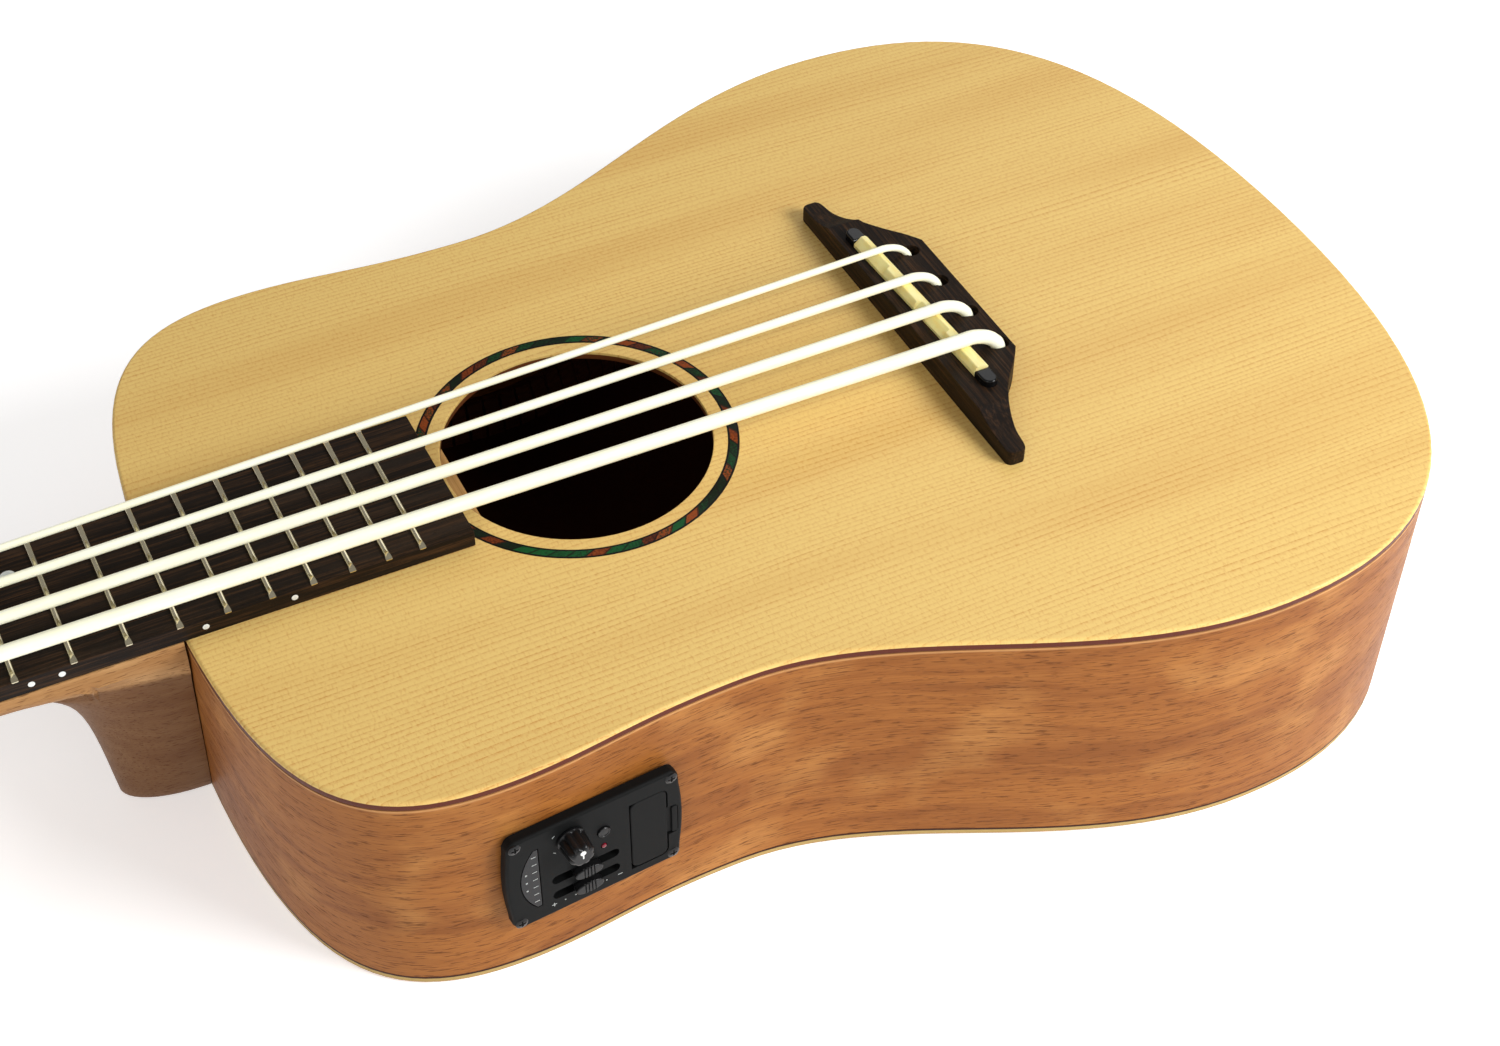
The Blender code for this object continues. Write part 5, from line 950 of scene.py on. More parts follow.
def headRing(along, steps=19):
    # the neck's round section, which turns square within the blend
    section = {"blend": 30.0, "round": 2.6, "square": 16.6, "edge": 1.5}
    half = headHalf(along)
    blend = clamp(along / section["blend"])
    power = section["round"] + (section["square"] - section["round"]) * blend * blend
    high = -head["veneer"]
    flank = high - section["edge"]
    side = [(half, high)]
    for i in range(steps):
        angle = math.radians(90 * i / steps)
        side.append((half * math.cos(angle) ** (2 / power),
                     flank - (head["thickness"] + flank) * math.sin(angle) ** (2 / power)))
    side.append((0.0, -head["thickness"]))
    return [headLocal @ Vector(p) for p in bothSides(side, along)]


def makeNeck():
    noseShares = (0.05, 0.12, 0.25, 0.38, 0.5, 0.62, 0.72, 0.81, 0.88, 0.93, 0.965, 0.985, 1)
    coveShares = (0.02, 0.04, 0.065, 0.09, 0.12, 0.155, 0.2, 0.25, 0.32, 0.4, 0.5, 0.62, 0.75, 0.88, 1)
    shaftRings = 14
    nose = noseReach(body["depthAtJoint"]) - neck["start"]
    coveEnd = nose + heel["coveRun"]
    far = scale["nutY"] + neck["nutSeat"] - neck["start"]
    stations = [-neck["butt"]] + [nose * share for share in noseShares]
    stations += [nose + heel["coveRun"] * share for share in coveShares]
    stations += [coveEnd + (far - coveEnd) * i / shaftRings for i in range(1, shaftRings + 1)]
    rings = []
    for station in stations:
        y = neck["start"] + station
        share = clamp(1 - station / neck["flankRun"])
        flank = neck["flankAtNut"] + (neck["flankAtHeel"] - neck["flankAtNut"]) * share
        rings.append(neckRing(y, boardHalf(min(y, scale["nutY"])), neckDepth(y), flank))
    places = headStations(0.8, 3, 6, 9, 12, 15, 18, 21, 24, 27, 30, 36, 46, 60, 80, 100, 120, 134, 138)
    rings += [headRing(along) for along in places]
    rod = slab(roundedBox(neck["rodWidth"], neck["rodLength"], 0.8), -neck["rodDepth"], 2)
    tools = [moved(hole, headLocal) for hole in postHoles(-30, 10)]
    tools.append(shifted(rod, 0, scale["nutY"] - neck["rodFromNut"], 0))
    bm = carve(bridgeRings(rings), tools)
    addPiece("neckWood", bm, drawing, "neck", stands=("neck",), crease=28)


def makeHeadFace():
    places = headStations(1.2, 4, 8, 12, 16, 20, 24, 28, 32, 60, 100, 130, 138)
    right = [(headHalf(along), along) for along in places]
    bm = slab(right + [(-x, y) for x, y in right][::-1], -head["veneer"], 0.0)
    roundEdges(bm, 0.5, 2, above(-0.1))
    bm = carve(bm, postHoles(-10, 10))
    addPiece("headFace", bm, headFrame, "board", stands=("headstock_veneer",))


def fretY(number):
    return scale["nutY"] - scale["length"] * (1 - 2 ** (-number / 12))


def fretMiddle(number):                 # half way between a fret and the one before
    return (fretY(number) + fretY(number - 1)) / 2


def makeBoard():
    top = 5.8
    frets = {"width": 1.9, "rise": 1.1, "endSlope": 2.3, "foot": 0.4, "sunk": 0.3, "reach": 0.05}
    face = {"frets": (3, 5, 7, 10, 12), "radius": 2.2, "edge": 0.2, "pair": 13.6, "proud": 0.05, "lip": 0.03}
    side = {"frets": (3, 5, 7, 10, 15, 17, 12), "radius": 0.95, "edge": 0.1, "pair": 4.1, "proud": 0.05,
            "lip": 0.02, "level": 3.1}
    endY = scale["nutY"] - 0.3
    right = [(boardHalf(neck["boardEnd"]), neck["boardEnd"]), (boardHalf(endY), endY)]
    bm = slab(right + [(-x, y) for x, y in right][::-1], 0.1, top)
    roundEdges(bm, 0.45, 2)
    addPiece("fretBoard", bm, drawing, "board", stands=("fingerboard",))

    parts = []
    crown = [(math.cos(math.radians(a)) * frets["width"] / 2, top + math.sin(math.radians(a)) * frets["rise"])
             for a in range(0, 181, 15)]
    foot = frets["width"] * frets["foot"]
    crown += [(-foot, top - frets["sunk"]), (foot, top - frets["sunk"])]
    for number in range(1, scale["frets"] + 1):
        y = fretY(number)
        half = boardHalf(y) + frets["reach"]
        bm = bridgeRings([[(x, y + dy, z) for dy, z in crown] for x in (-half, half)])
        for sign in (-1, 1):
            bmesh.ops.bisect_plane(bm, geom=bm.verts[:] + bm.edges[:] + bm.faces[:],
                                   plane_co=(sign * half, 0, top), plane_no=(sign, 0, frets["endSlope"]),
                                   clear_outer=True)
            bmesh.ops.holes_fill(bm, edges=[e for e in bm.edges if len(e.link_faces) == 1])
        parts.append(bm)
    addPiece("frets", join(*parts), drawing, "fret", crease=40)

    def dot(d, steps):
        sunk, radius = -0.8, d["radius"]
        return turn(((0, sunk), (radius, sunk), (radius, d["lip"]), (radius - d["edge"], d["proud"]),
                     (0, d["proud"])), steps)
    parts = []
    for number in face["frets"]:
        for x in ((-face["pair"], face["pair"]) if number == 12 else (0.0,)):
            parts.append(shifted(dot(face, 32), x, fretMiddle(number), top))
    for number in side["frets"]:
        for dy in ((-side["pair"], side["pair"]) if number == 12 else (0.0,)):
            y = fretMiddle(number) + dy
            place = Matrix.Translation((-boardHalf(y), y, side["level"])) @ spin(-90, "Y")
            parts.append(moved(dot(side, 24), place))
    addPiece("positionDots", join(*parts), drawing, "dot")


def makeNut():
    nut = {"length": 45.0, "width": 5.0, "corner": 0.7, "low": 0.15, "high": 9.2, "edge": 0.6,
           "fall": 0.28, "fallFrom": 1.2, "slotGap": 0.12}
    middle = scale["nutY"] + nut["width"] / 2
    bm = slab(roundedBox(nut["length"], nut["width"], nut["corner"], (0, middle)), nut["low"], nut["high"])
    for vert in bm.verts:
        if vert.co.z > 5:               # the top falls away towards the head
            vert.co.z -= nut["fall"] * max(vert.co.y - scale["nutY"] - nut["fallFrom"], 0)
    roundEdges(bm, nut["edge"], 3, above(5))
    tools = []
    for index in range(4):
        radius = strings["diameters"][index] / 2
        post, back, front = stringRoute(index)[:3]
        past = Vector((0, 6, 0))
        tools.append(tube([post, back, front], radius + nut["slotGap"], 6))
        tools.append(tube([back + past, front - past], radius + 0.1, 6))
    addPiece("nutBone", carve(bm, tools), drawing, "bone", stands=("nut",))


winding = {"first": 4.3, "radius": 4.0, "low": 2.2, "room": 9.5, "pitch": 1.02, "steps": 28}     # on a post


def stringRoute(index):
    radius = strings["diameters"][index] / 2
    side, along, across = postPlaces[strings["names"][index]]
    post = headLocal @ Vector((side * (across - (winding["first"] + radius)), along, winding["low"] + radius))
    nutX = stringX(index, scale["nutY"])
    over = strings["overNut"] + radius
    line = saddleLine(stringX(index, bridge["saddleY"]))
    saddleX = stringX(index, line)
    holeX, holeY = stringHole(index)
    crest = strings["overSaddle"] + radius
    touch, leave = line - 1.6, line - 5.0       # along the saddle's crest, before the string bends down
    points = [post, (nutX, scale["nutY"] + neck["nutSeat"], over), (nutX, scale["nutY"], over),
              (saddleX, touch, crest), (saddleX, leave, crest)]
    for share, fall in ((0.3, -0.8), (0.55, -2.1), (0.75, -3.9), (0.9, -6.4)):
        points.append((saddleX + (holeX - saddleX) * share, leave + (holeY - leave) * share, crest + fall))
    points += [(holeX, holeY, 2.0), (holeX, holeY, -6.0)]
    return [Vector(p) for p in points]


def makeStrings():
    tie = ((0, 0, 1), (1.2, 1.0, -1.6), (-1.0, 1.6, -2.6), (-1.6, -1.2, -3.0), (1.2, -1.4, -2.4),
           (1.8, 0.4, -3.4))            # the knot's points, from the string's end
    for index, name in enumerate(strings["names"]):
        radius = strings["diameters"][index] / 2
        route = stringRoute(index)
        path = [route[0], route[0].lerp(route[1], 0.5), route[1], route[2], route[2].lerp(route[3], 0.5)]
        line = tube(path + curvePoints(route[3:], 5), radius, 6)
        knot = tube(curvePoints([route[-1] + Vector(p) for p in tie], 6), min(radius, 1.9), 4)
        addPiece("string" + name, join(line, knot), drawing, "string", stands=("string_" + name,),
                 crease=60)

        side, along, across = postPlaces[name]
        turns = (winding["room"] + 0.2 - 2 * radius) / (2 * winding["pitch"] * radius)
        steps = int(turns * winding["steps"])
        wound = winding["radius"] + radius
        coil = []
        for i in range(steps + 1):
            angle = (math.pi if side > 0 else 0.0) - side * math.tau * turns * i / steps
            rise = (winding["room"] - 2 * radius) * i / steps
            coil.append(Vector((side * across + wound * math.cos(angle), along + wound * math.sin(angle),
                                winding["low"] + radius + rise)))
        last = coil[-1]
        coil += [last.lerp(Vector((side * across, along, last.z)), share) for share in (0.5, 0.85)]
        wrapped = tube(coil, radius, 5)
        addPiece("turns" + name, wrapped, headFrame, "string", "post_" + name, crease=60)


makeNeck()
makeHeadFace()
makeBoard()
makeNut()
makeStrings()
print("neck and strings done")


def makeBridge():
    b = bridge
    half = b["length"] / 2
    rear = b["frontY"] - b["depth"]
    scoop = curvePoints([(28.7, -132.19, 0), (33.8, -128.6, 0), (40.0, -123.3, 0), (46.6, -118.9, 0),
                         (56.0, -115.7, 0), (62.6, -114.8, 0), (64.6, -114.2, 0)], 5)
    right = [(0.0, rear)] + [(p.x, max(p.y, rear)) for p in scoop]
    right += [(half, -113.2), (half, -110.2), (half - 0.3, -109.2), (half - 1.0, -108.5),
              (half - 2.0, b["frontY"]), (0.0, b["frontY"])]
    bm = slab(right + [(-x, y) for x, y in right[1:-1]][::-1], 0.02, b["height"])
    shoulder = b["shoulder"] / 2
    reach = half - shoulder
    for sign in (-1, 1):
        for share in (0, 0.06, 0.14, 0.24, 0.36, 0.5, 0.66, 0.82):
            bmesh.ops.bisect_plane(bm, geom=bm.verts[:] + bm.edges[:] + bm.faces[:],
                                   plane_co=(sign * (shoulder + reach * share), 0, 0), plane_no=(1, 0, 0))
    for vert in bm.verts:
        if vert.co.z > 5:
            share = clamp((abs(vert.co.x) - shoulder) / reach)
            vert.co.z = b["tip"] + (b["height"] - b["tip"]) * (1 - share) ** b["wingFall"]
    roundEdges(bm, 0.45, 2, above(3.5))
    slotLow = b["height"] - b["slotDepth"]
    slot = slab(roundedBox(b["saddleLength"] + b["slotEnds"], b["saddleWidth"] + 0.2, 2.4), slotLow, 20)
    for vert in slot.verts:
        vert.co.y += saddleLine(vert.co.x) - b["saddleWidth"] / 2
    tools = [slot]
    for index in range(4):
        tools.append(slab(circle(b["holeRadius"], 28, stringHole(index)), -3, 15))
        groove = strings["diameters"][index] / 2 + 0.3
        tools.append(tube(curvePoints(stringRoute(index)[4:], 5), groove, 5))
    addPiece("bridgeWood", carve(bm, tools), drawing, "bridge", stands=("bridge",), crease=35)


def makeSaddle():
    # four crests, one to a string, with a slanted step between neighbours
    b = bridge
    crests = ((-35.0, 0.0), (-17.0, 0.3), (-16.4, 1.9), (-1.1, 1.6), (-0.5, 0.2), (17.5, 0.5), (18.1, 1.8),
              (35.0, 1.5))
    low, top = b["height"] - b["slotDepth"] + 2.6, b["saddleTop"]
    rings = []
    for x, back in crests:
        front = saddleLine(x)
        behind = front - b["saddleWidth"]
        rings.append([(x, front, low), (x, front, top - 2.0 - 0.1 * back), (x, front - 0.7 - back, top - 0.2),
                      (x, front - 1.0 - back, top), (x, behind + 0.9, top - 0.05), (x, behind, top - 0.8),
                      (x, behind, low)])
    addPiece("saddleBone", bridgeRings(rings), drawing, "bone", stands=("saddle",), crease=20)

    plug = {"length": 12.8, "width": 4.8, "corner": 2.35, "low": 3.2, "proud": 2.1, "edge": 1.1, "gap": 0.2}
    for sign, name in ((-1, "bass"), (1, "treble")):
        half = [(x, y) for x, y in roundedBox(plug["length"], plug["width"], plug["corner"]) if x > -0.01]
        outline = [(0.0, plug["width"] / 2)] + sorted(half, key=lambda p: -p[1]) + [(0.0, -plug["width"] / 2)]
        bm = slab([(x * sign, y) for x, y in outline], plug["low"], b["height"] + plug["proud"])
        roundEdges(bm, plug["edge"], 4, above(9))
        for vert in bm.verts:
            vert.co.x += sign * (b["saddleLength"] / 2 + plug["gap"])
            vert.co.y += saddleLine(vert.co.x) - b["saddleWidth"] / 2
        addPiece("saddlePlug" + name.capitalize(), bm, drawing, "gloss",
                 stands=("saddle_plug_" + name,))


makeBridge()
makeSaddle()
print("bridge done")


def screwHead(radius, height):
    # a domed head with a cross recess and a stub of its shank
    recess = height * 0.35
    bm = turn(((0, -2.0), (radius * 0.5, -2.0), (radius * 0.55, 0), (radius, 0), (radius, recess),
               (radius * 0.8, height * 0.8), (radius * 0.4, height), (0, height)), 24)
    arms = ((radius * 1.15, radius * 0.24), (radius * 0.24, radius * 1.15))
    return carve(bm, [slab(roundedBox(length, width, 0.05), recess, height * 2) for length, width in arms])


tuner = {
    "plateWidth": 15.0, "plate": 1.2, "under": -15.3, "pastWorm": 9.0, "pastPost": 12.0,
    "screwX": 5.2, "screwInset": 2.6, "postHole": 4.9, "wormHole": 2.0,
    "ear": (6.4, 9.4, 2.6), "earHalf": 0.75, "earX": 6.05, "earZ": -19.6,
    "wormOffset": 9.45, "wormRadius": 2.6, "threadPitch": math.pi * 0.85, "threadRadius": 2.35,
    "threadWire": 0.8,
    "gearZ": -20.0, "gearHalf": 1.6, "gearRadius": 6.8, "teeth": 16, "toothRoot": 5.75, "toothTip": 7.4,
    "buttonStart": 20.0, "buttonLength": 9.0, "buttonHalf": 9.5, "buttonFlat": 7.2 / 19.0,
}


def makePlate(name, place):
    t = tuner
    low, high = -t["wormOffset"] - t["pastWorm"], t["pastPost"]
    under = t["under"] - t["plate"]
    bm = slab(roundedBox(t["plateWidth"], high - low, 2.0, (0, (low + high) / 2)), under, t["under"])
    roundEdges(bm, 0.35, 2)
    ears = []
    for sign in (-1, 1):
        ear = slab(roundedBox(*t["ear"]), -t["earHalf"], t["earHalf"])
        roundEdges(ear, 0.3, 2)
        spot = Matrix.Translation((sign * t["earX"], -t["wormOffset"], t["earZ"]))
        ears.append(moved(ear, spot @ spin(90, "Y") @ spin(90, "Z")))
    bm = carve(bm, ears, "UNION")
    worm = Matrix.Translation((0, -t["wormOffset"], t["gearZ"])) @ spin(90, "Y")
    inWood = slab(roundedBox(30, 30, 1), t["under"] + 0.05, 5)      # what would sink into the head
    holes = [slab(circle(t["postHole"], 32), -30, 5), moved(slab(circle(t["wormHole"], 24), -9, 9), worm)]
    bm = carve(bm, holes + [inWood])
    addPiece("tunerPlate" + name, bm, place, "nickel", stands=("tuner_plate_" + name,))

    trim = [turn(((4.75, -10), (4.95, -10), (4.95, 0.02), (7.6, 0.02), (7.6, 0.5), (7.1, 0.9), (5.9, 1.0),
                  (5.6, 1.7), (4.75, 1.7)), 40, True)]
    for y in (low + t["screwInset"], high - t["screwInset"]):
        for x in (-t["screwX"], t["screwX"]):
            trim.append(moved(screwHead(1.7, 0.9), Matrix.Translation((x, y, under)) @ spin(180, "X")))
    addPiece("tunerTrim" + name, join(*trim), place, "nickel")


def makePost(name, side, place):
    t = tuner
    post = turn(((0, -23.0), (2.6, -23.0), (2.6, -21.2), (4.5, -21.2), (4.5, 1.9), (4.05, 2.1), (4.0, 2.4),
                 (4.0, 11.6), (4.5, 12.3), (4.5, 15.2), (4.25, 15.7), (3.7, 16.0), (1.6, 16.0), (1.4, 15.4),
                 (0, 15.4)), 40)
    eye = moved(slab(circle(1.3, 20), -9, 9), Matrix.Translation((0, 0, 7.0)) @ spin(90, "Y"))
    post = carve(post, [eye])
    flank = ((t["toothRoot"], -0.135), (t["toothTip"], -0.055), (t["toothTip"] + 0.08, 0.0),
             (t["toothTip"], 0.055), (t["toothRoot"], 0.135))       # radius and angle round one tooth
    teeth = []
    for tooth in range(t["teeth"]):
        middle = math.radians(-90) + math.tau * tooth / t["teeth"]
        for radius, offset in flank:
            teeth.append((radius * math.cos(middle + offset), radius * math.sin(middle + offset)))
    gear = slab(teeth, -t["gearHalf"], t["gearHalf"])
    slant = t["threadPitch"] / (math.tau * t["wormRadius"]) / t["gearRadius"]     # as the worm's thread leans
    for vert in gear.verts:
        vert.co = Matrix.Rotation(side * vert.co.z * slant, 3, "Z") @ vert.co
        vert.co.z += t["gearZ"]
    roundEdges(gear, 0.12, 1, None, 60)
    screw = moved(screwHead(3.0, 1.2), Matrix.Translation((0, 0, -23.0)) @ spin(180, "X"))
    addPiece("tunerPost" + name, join(post, gear, screw), place, "nickel", "post_" + name,
             ("tuner_post_" + name,), crease=30)


def makeButton(name, place):
    t = tuner
    shaft = turn(((0, -7.3), (1.2, -7.3), (1.7, -6.8), (1.7, 19.4), (2.3, 19.6), (2.5, 20.4), (2.5, 23.0),
                  (0, 23.0)), 28)
    thread = []
    for i in range(-44, 45):
        angle = math.tau * i / 24 + math.pi
        thread.append(Vector((t["threadPitch"] * i / 24, -t["threadRadius"] * math.cos(angle),
                              t["threadRadius"] * math.sin(angle))))
    # shares of the button's length and width, from its neck to its end
    outline = ((0.0, 0.26), (0.04, 0.32), (0.12, 0.42), (0.22, 0.62), (0.35, 0.86), (0.5, 0.96),
               (0.65, 1.0), (0.8, 0.98), (0.9, 0.93), (0.96, 0.86), (1.0, 0.76))
    rings = []
    for share, wide in outline:
        x, half = t["buttonStart"] + t["buttonLength"] * share, t["buttonHalf"] * wide
        flat = t["buttonFlat"] * (0.45 + 0.55 / wide)
        rings.append([(x, y, z * flat) for y, z in circle(half)])
    worm = join(moved(shaft, spin(90, "Y")), tube(thread, t["threadWire"], 3))
    whole = join(worm, bridgeRings(rings))
    addPiece("tunerButton" + name, whole, place, "nickel", "button_" + name,
             ("tuner_button_" + name,), crease=35)


def makeTuners():
    for name, (side, along, across) in postPlaces.items():
        place = headFrame @ Matrix.Translation((side * across, along, 0))
        wormPlace = place @ Matrix.Translation((0, -tuner["wormOffset"], tuner["gearZ"]))
        if side < 0:
            wormPlace = wormPlace @ Matrix.Scale(-1, 4, (1, 0, 0))
        makePlate(name, place)
        makePost(name, side, place)
        makeButton(name, wormPlace)


makeTuners()
print("machine heads done")


# Preamp
def panelOutline():
    p = preamp
    half = p["length"] / 2 - p["bulge"]
    bowed = []
    for x, y in roundedBox(half * 2, p["height"], p["corner"], steps=6):
        share = clamp(abs(y) / (p["height"] / 2))
        grow = p["bulge"] * (1 - share * share) if abs(x) > half - 0.01 else 0
        bowed.append((x + math.copysign(grow, x), y))
    full = []
    for (x, y), (nextX, nextY) in zip(bowed, bowed[1:] + bowed[:1]):
        full.append((x, y))
        if abs(nextY - y) > p["height"] / 2:            # the panel's two bowed ends
            for i in range(1, 10):
                share = i / 10
                bow = p["bulge"] * (1 - (2 * share - 1) ** 2)
                full.append((math.copysign(half + bow, x), y + (nextY - y) * share))
    return full


def windowOutline(grow=0.0):
    # straight towards the controls, bowed towards the panel's end
    straight, bowed, half = preamp["windowSpan"]
    sag = straight - preamp["windowArc"] - bowed
    radius = (half * half + sag * sag) / (2 * sag)
    spread = math.asin(half / radius)
    arc = []
    for i in range(17):
        angle = spread * (1 - i / 8)
        arc.append((bowed + radius - (radius + grow) * math.cos(angle), (radius + grow) * math.sin(angle)))
    return [(straight + grow, -half - grow), (straight + grow, half + grow)] + arc


def doorOutline(grow=0.0):
    width, height = (size + 2 * grow for size in preamp["doorSize"])
    return roundedBox(width, height, preamp["doorCorner"] + grow, preamp["door"], 6)


def makePanel():
    p = preamp
    top = p["thickness"]
    cut = {"knob": 1.9, "key": 2.0, "lamp": 1.0, "slot": (20.6, 3.4, 1.65), "window": 1.0, "seat": 1.9,
           "gap": 0.25, "tab": (4.6, 11.9, 1.4), "bay": (8.3, 23.3, 1.0), "bayAside": 1.5,
           "hinge": 2.3, "hingeAside": 0.85}
    (doorU, doorV), (doorWidth, doorHeight) = p["door"], p["doorSize"]
    seat = top - cut["seat"]
    tools = [slab(circle(cut["knob"], 24, p["knob"]), -2, 9), slab(circle(cut["key"], 28, p["key"]), -2, 9),
             slab(circle(cut["lamp"], 20, p["lamp"]), -2, 9)]
    tools += [slab(roundedBox(*cut["slot"], (p["sliderU"], v)), -2, 9) for v in p["sliderV"]]
    tools += [slab(windowOutline(), top - cut["window"], 9), slab(doorOutline(cut["gap"]), seat, 9)]
    hinge = (doorU - doorWidth / 2 + cut["hingeAside"], doorV)      # room for the door's hinge edge to turn
    tools.append(slab(roundedBox(cut["hinge"], doorHeight + 0.3, 0.2, hinge), seat - 0.05, 9))
    tools.append(slab(roundedBox(*cut["tab"], p["tab"]), seat, 9))
    tools.append(slab(roundedBox(*cut["bay"], (doorU + cut["bayAside"], doorV)), -2, 9))
    bm = slab(panelOutline(), 0.0, top)
    roundEdges(bm, 1.0, 4, above(3))
    bm = carve(bm, tools)
    addPiece("panelFace", bm, panelFrame, "plastic", stands=("preamp_panel",), crease=35)

    bm = slab(windowOutline(-cut["gap"]), top - cut["window"] + 0.1, top + 0.02)
    roundEdges(bm, 0.25, 2)
    addPiece("windowPane", bm, panelFrame, "window", stands=("display_window",))

    bm = turn(((0, 0.6), (0.8, 0.6), (0.8, top), (0.65, top + 0.25), (0.3, top + 0.38), (0, top + 0.4)), 20)
    addPiece("lampDome", shifted(bm, *p["lamp"], 0), panelFrame, "lamp", stands=("lamp_lens",))


def makeMarks():
    # dots below the sliders between a plus and a minus, ticks at the knob, steps and dots in the window
    top = preamp["thickness"]
    mark = {"thin": 0.26, "sign": 1.4, "row": -14.6, "step": 3.2, "plusU": -13.6, "dotU": -10.2,
            "minusU": 6.8, "dot": 0.4, "tick": (-4.9, 3.4), "tickTurn": 40, "stepV": -9.6, "windowDot": 0.6,
            "dotV": 3.4}
    knobU, knobV = preamp["knob"]
    windowU, row, thin, sign = preamp["windowU"], mark["row"], mark["thin"], mark["sign"]
    aside, apart = mark["tick"]
    places = [(mark["dotU"] + mark["step"] * i, row, mark["dot"], mark["dot"], 0) for i in range(5)]
    places += [(mark["plusU"], row, sign, thin, 0), (mark["plusU"], row, thin, sign, 0),
               (mark["minusU"], row, sign, thin, 0)]
    places += [(knobU + aside, knobV + apart * way, 1.0, 0.22, mark["tickTurn"] * way) for way in (-1, 1)]
    places += [(windowU + 1.2, mark["stepV"] + mark["step"] * i, 1.5, thin, 0) for i in range(7)]
    places += [(windowU - 1.4, mark["dotV"] * i, mark["windowDot"], mark["windowDot"], 0) for i in (-1, 0, 1)]
    marks = []
    for u, v, length, width, turned in places:
        shape = slab(roundedBox(length, width, min(length, width) * 0.3, steps=2), -0.05, 0.03)
        marks.append(moved(shape, Matrix.Translation((u, v, top)) @ spin(turned, "Z")))
    addPiece("panelMarks", join(*marks), panelFrame, "print")


def makePanelScrews():
    corners = [(u * 23.6, v * 16.2) for u in (-1, 1) for v in (-1, 1)]
    screws = [shifted(screwHead(1.9, 0.6), u, v, preamp["thickness"] - 0.25) for u, v in corners]
    addPiece("panelScrews", join(*screws), panelFrame, "gloss")


def makeKnob():
    knob = {"flutes": 8, "steps": 90, "top": 7.5, "dot": 0.85, "dotAside": 1.75, "tail": (0.4, 1.7, 0.18)}
    shape = ((-8.0, 1.5, 0), (0.2, 1.5, 0), (0.2, 4.0, 0), (0.4, 4.2, 0), (0.9, 4.2, 0), (1.1, 4.1, 0.1),
             (1.5, 4.1, 0.2), (6.2, 3.85, 0.22), (6.9, 3.7, 0.2), (7.35, 3.3, 0.13), (7.6, 2.8, 0.04),
             (7.62, 2.2, 0))            # height, radius and depth of the flutes as a share
    place = panelFrame @ Matrix.Translation((*preamp["knob"], preamp["thickness"]))
    rings = []
    for height, radius, groove in shape:
        rings.append([])
        for i in range(knob["steps"]):
            angle = math.tau * i / knob["steps"]
            around = radius * (1 - groove * (1 - abs(math.sin(knob["flutes"] * angle / 2))))
            rings[-1].append((around * math.cos(angle), around * math.sin(angle), height))
    addPiece("volumeKnob", bridgeRings(rings), place, "control", "knob", ("volume_knob",))
    dot = slab(circle(knob["dot"], 24, (0, knob["dotAside"])), knob["top"], knob["top"] + 0.18)
    tail = slab(roundedBox(*knob["tail"], (0, 0.3)), knob["top"], knob["top"] + 0.16)
    addPiece("knobPointer", join(dot, tail), place, "dot", "knob")


def makeSliders():
    cap = {"half": 4.2, "side": 2.0, "low": 0.3, "high": 2.3, "stem": (7.4, 2.2, 0.3), "under": 3.4,
           "groove": (0.4, 5.0, 0.1), "grooves": (-1.5, -0.5, 0.5, 1.5), "grooveLow": 1.8}
    top = preamp["thickness"]
    for name, v in zip(("treble", "bass"), preamp["sliderV"]):
        half = []
        for degrees in range(0, 181, 12):
            angle = math.radians(degrees)
            half.append((cap["half"] * math.cos(angle), cap["side"] * math.sin(angle) ** 0.8))
        bm = slab(half + [(-x, -y) for x, y in half[1:-1]], cap["low"], cap["high"])
        roundEdges(bm, 0.35, 3, above(1))
        cuts = [slab(roundedBox(*cap["groove"], (x, 0)), cap["grooveLow"], 3) for x in cap["grooves"]]
        whole = join(carve(bm, cuts), slab(roundedBox(*cap["stem"]), -top - cap["under"], 0.8))
        place = panelFrame @ Matrix.Translation((preamp["sliderU"], v, top))
        addPiece(name + "Slider", whole, place, "control", name + "_slider",
                 ("slider_" + name,))


def makeKey():
    key = turn(((0, -4.8), (1.5, -4.8), (1.85, 0.0), (1.85, 0.45), (1.7, 0.65), (1.45, 0.65), (1.35, 0.5),
                (0, 0.6)), 32)
    place = panelFrame @ Matrix.Translation((*preamp["key"], preamp["thickness"]))
    addPiece("tunerKey", key, place, "control", "key", ("tuner_key",))


def makeDoor():
    door = {"thickness": 1.6, "gap": 0.05, "tab": (3.6, 11.2, 1.0), "tabAside": 0.45, "tabDrop": 0.5,
            "lip": (1.8, 11.0, 0.6), "lipAside": 1.2, "lipDepth": 0.8, "lipProud": 0.15}
    top = preamp["thickness"]
    low = top - door["thickness"]
    tabU, tabV = preamp["tab"]
    bm = slab(doorOutline(-door["gap"]), low, top)
    roundEdges(bm, 0.35, 3, above(top - 0.1))
    tab = slab(roundedBox(*door["tab"], (tabU + door["tabAside"], tabV)), low, top - door["tabDrop"])
    roundEdges(tab, 0.25, 2)
    lip = slab(roundedBox(*door["lip"], (tabU + door["lipAside"], tabV)), top - door["lipDepth"],
               top + door["lipProud"])
    roundEdges(lip, 0.25, 2)
    whole = join(carve(bm, [tab], "UNION"), lip)
    addPiece("batteryDoor", whole, panelFrame, "plastic", "door", ("battery_door",))


makePanel()
makeMarks()
makePanelScrews()
makeKnob()
makeSliders()
makeKey()
makeDoor()


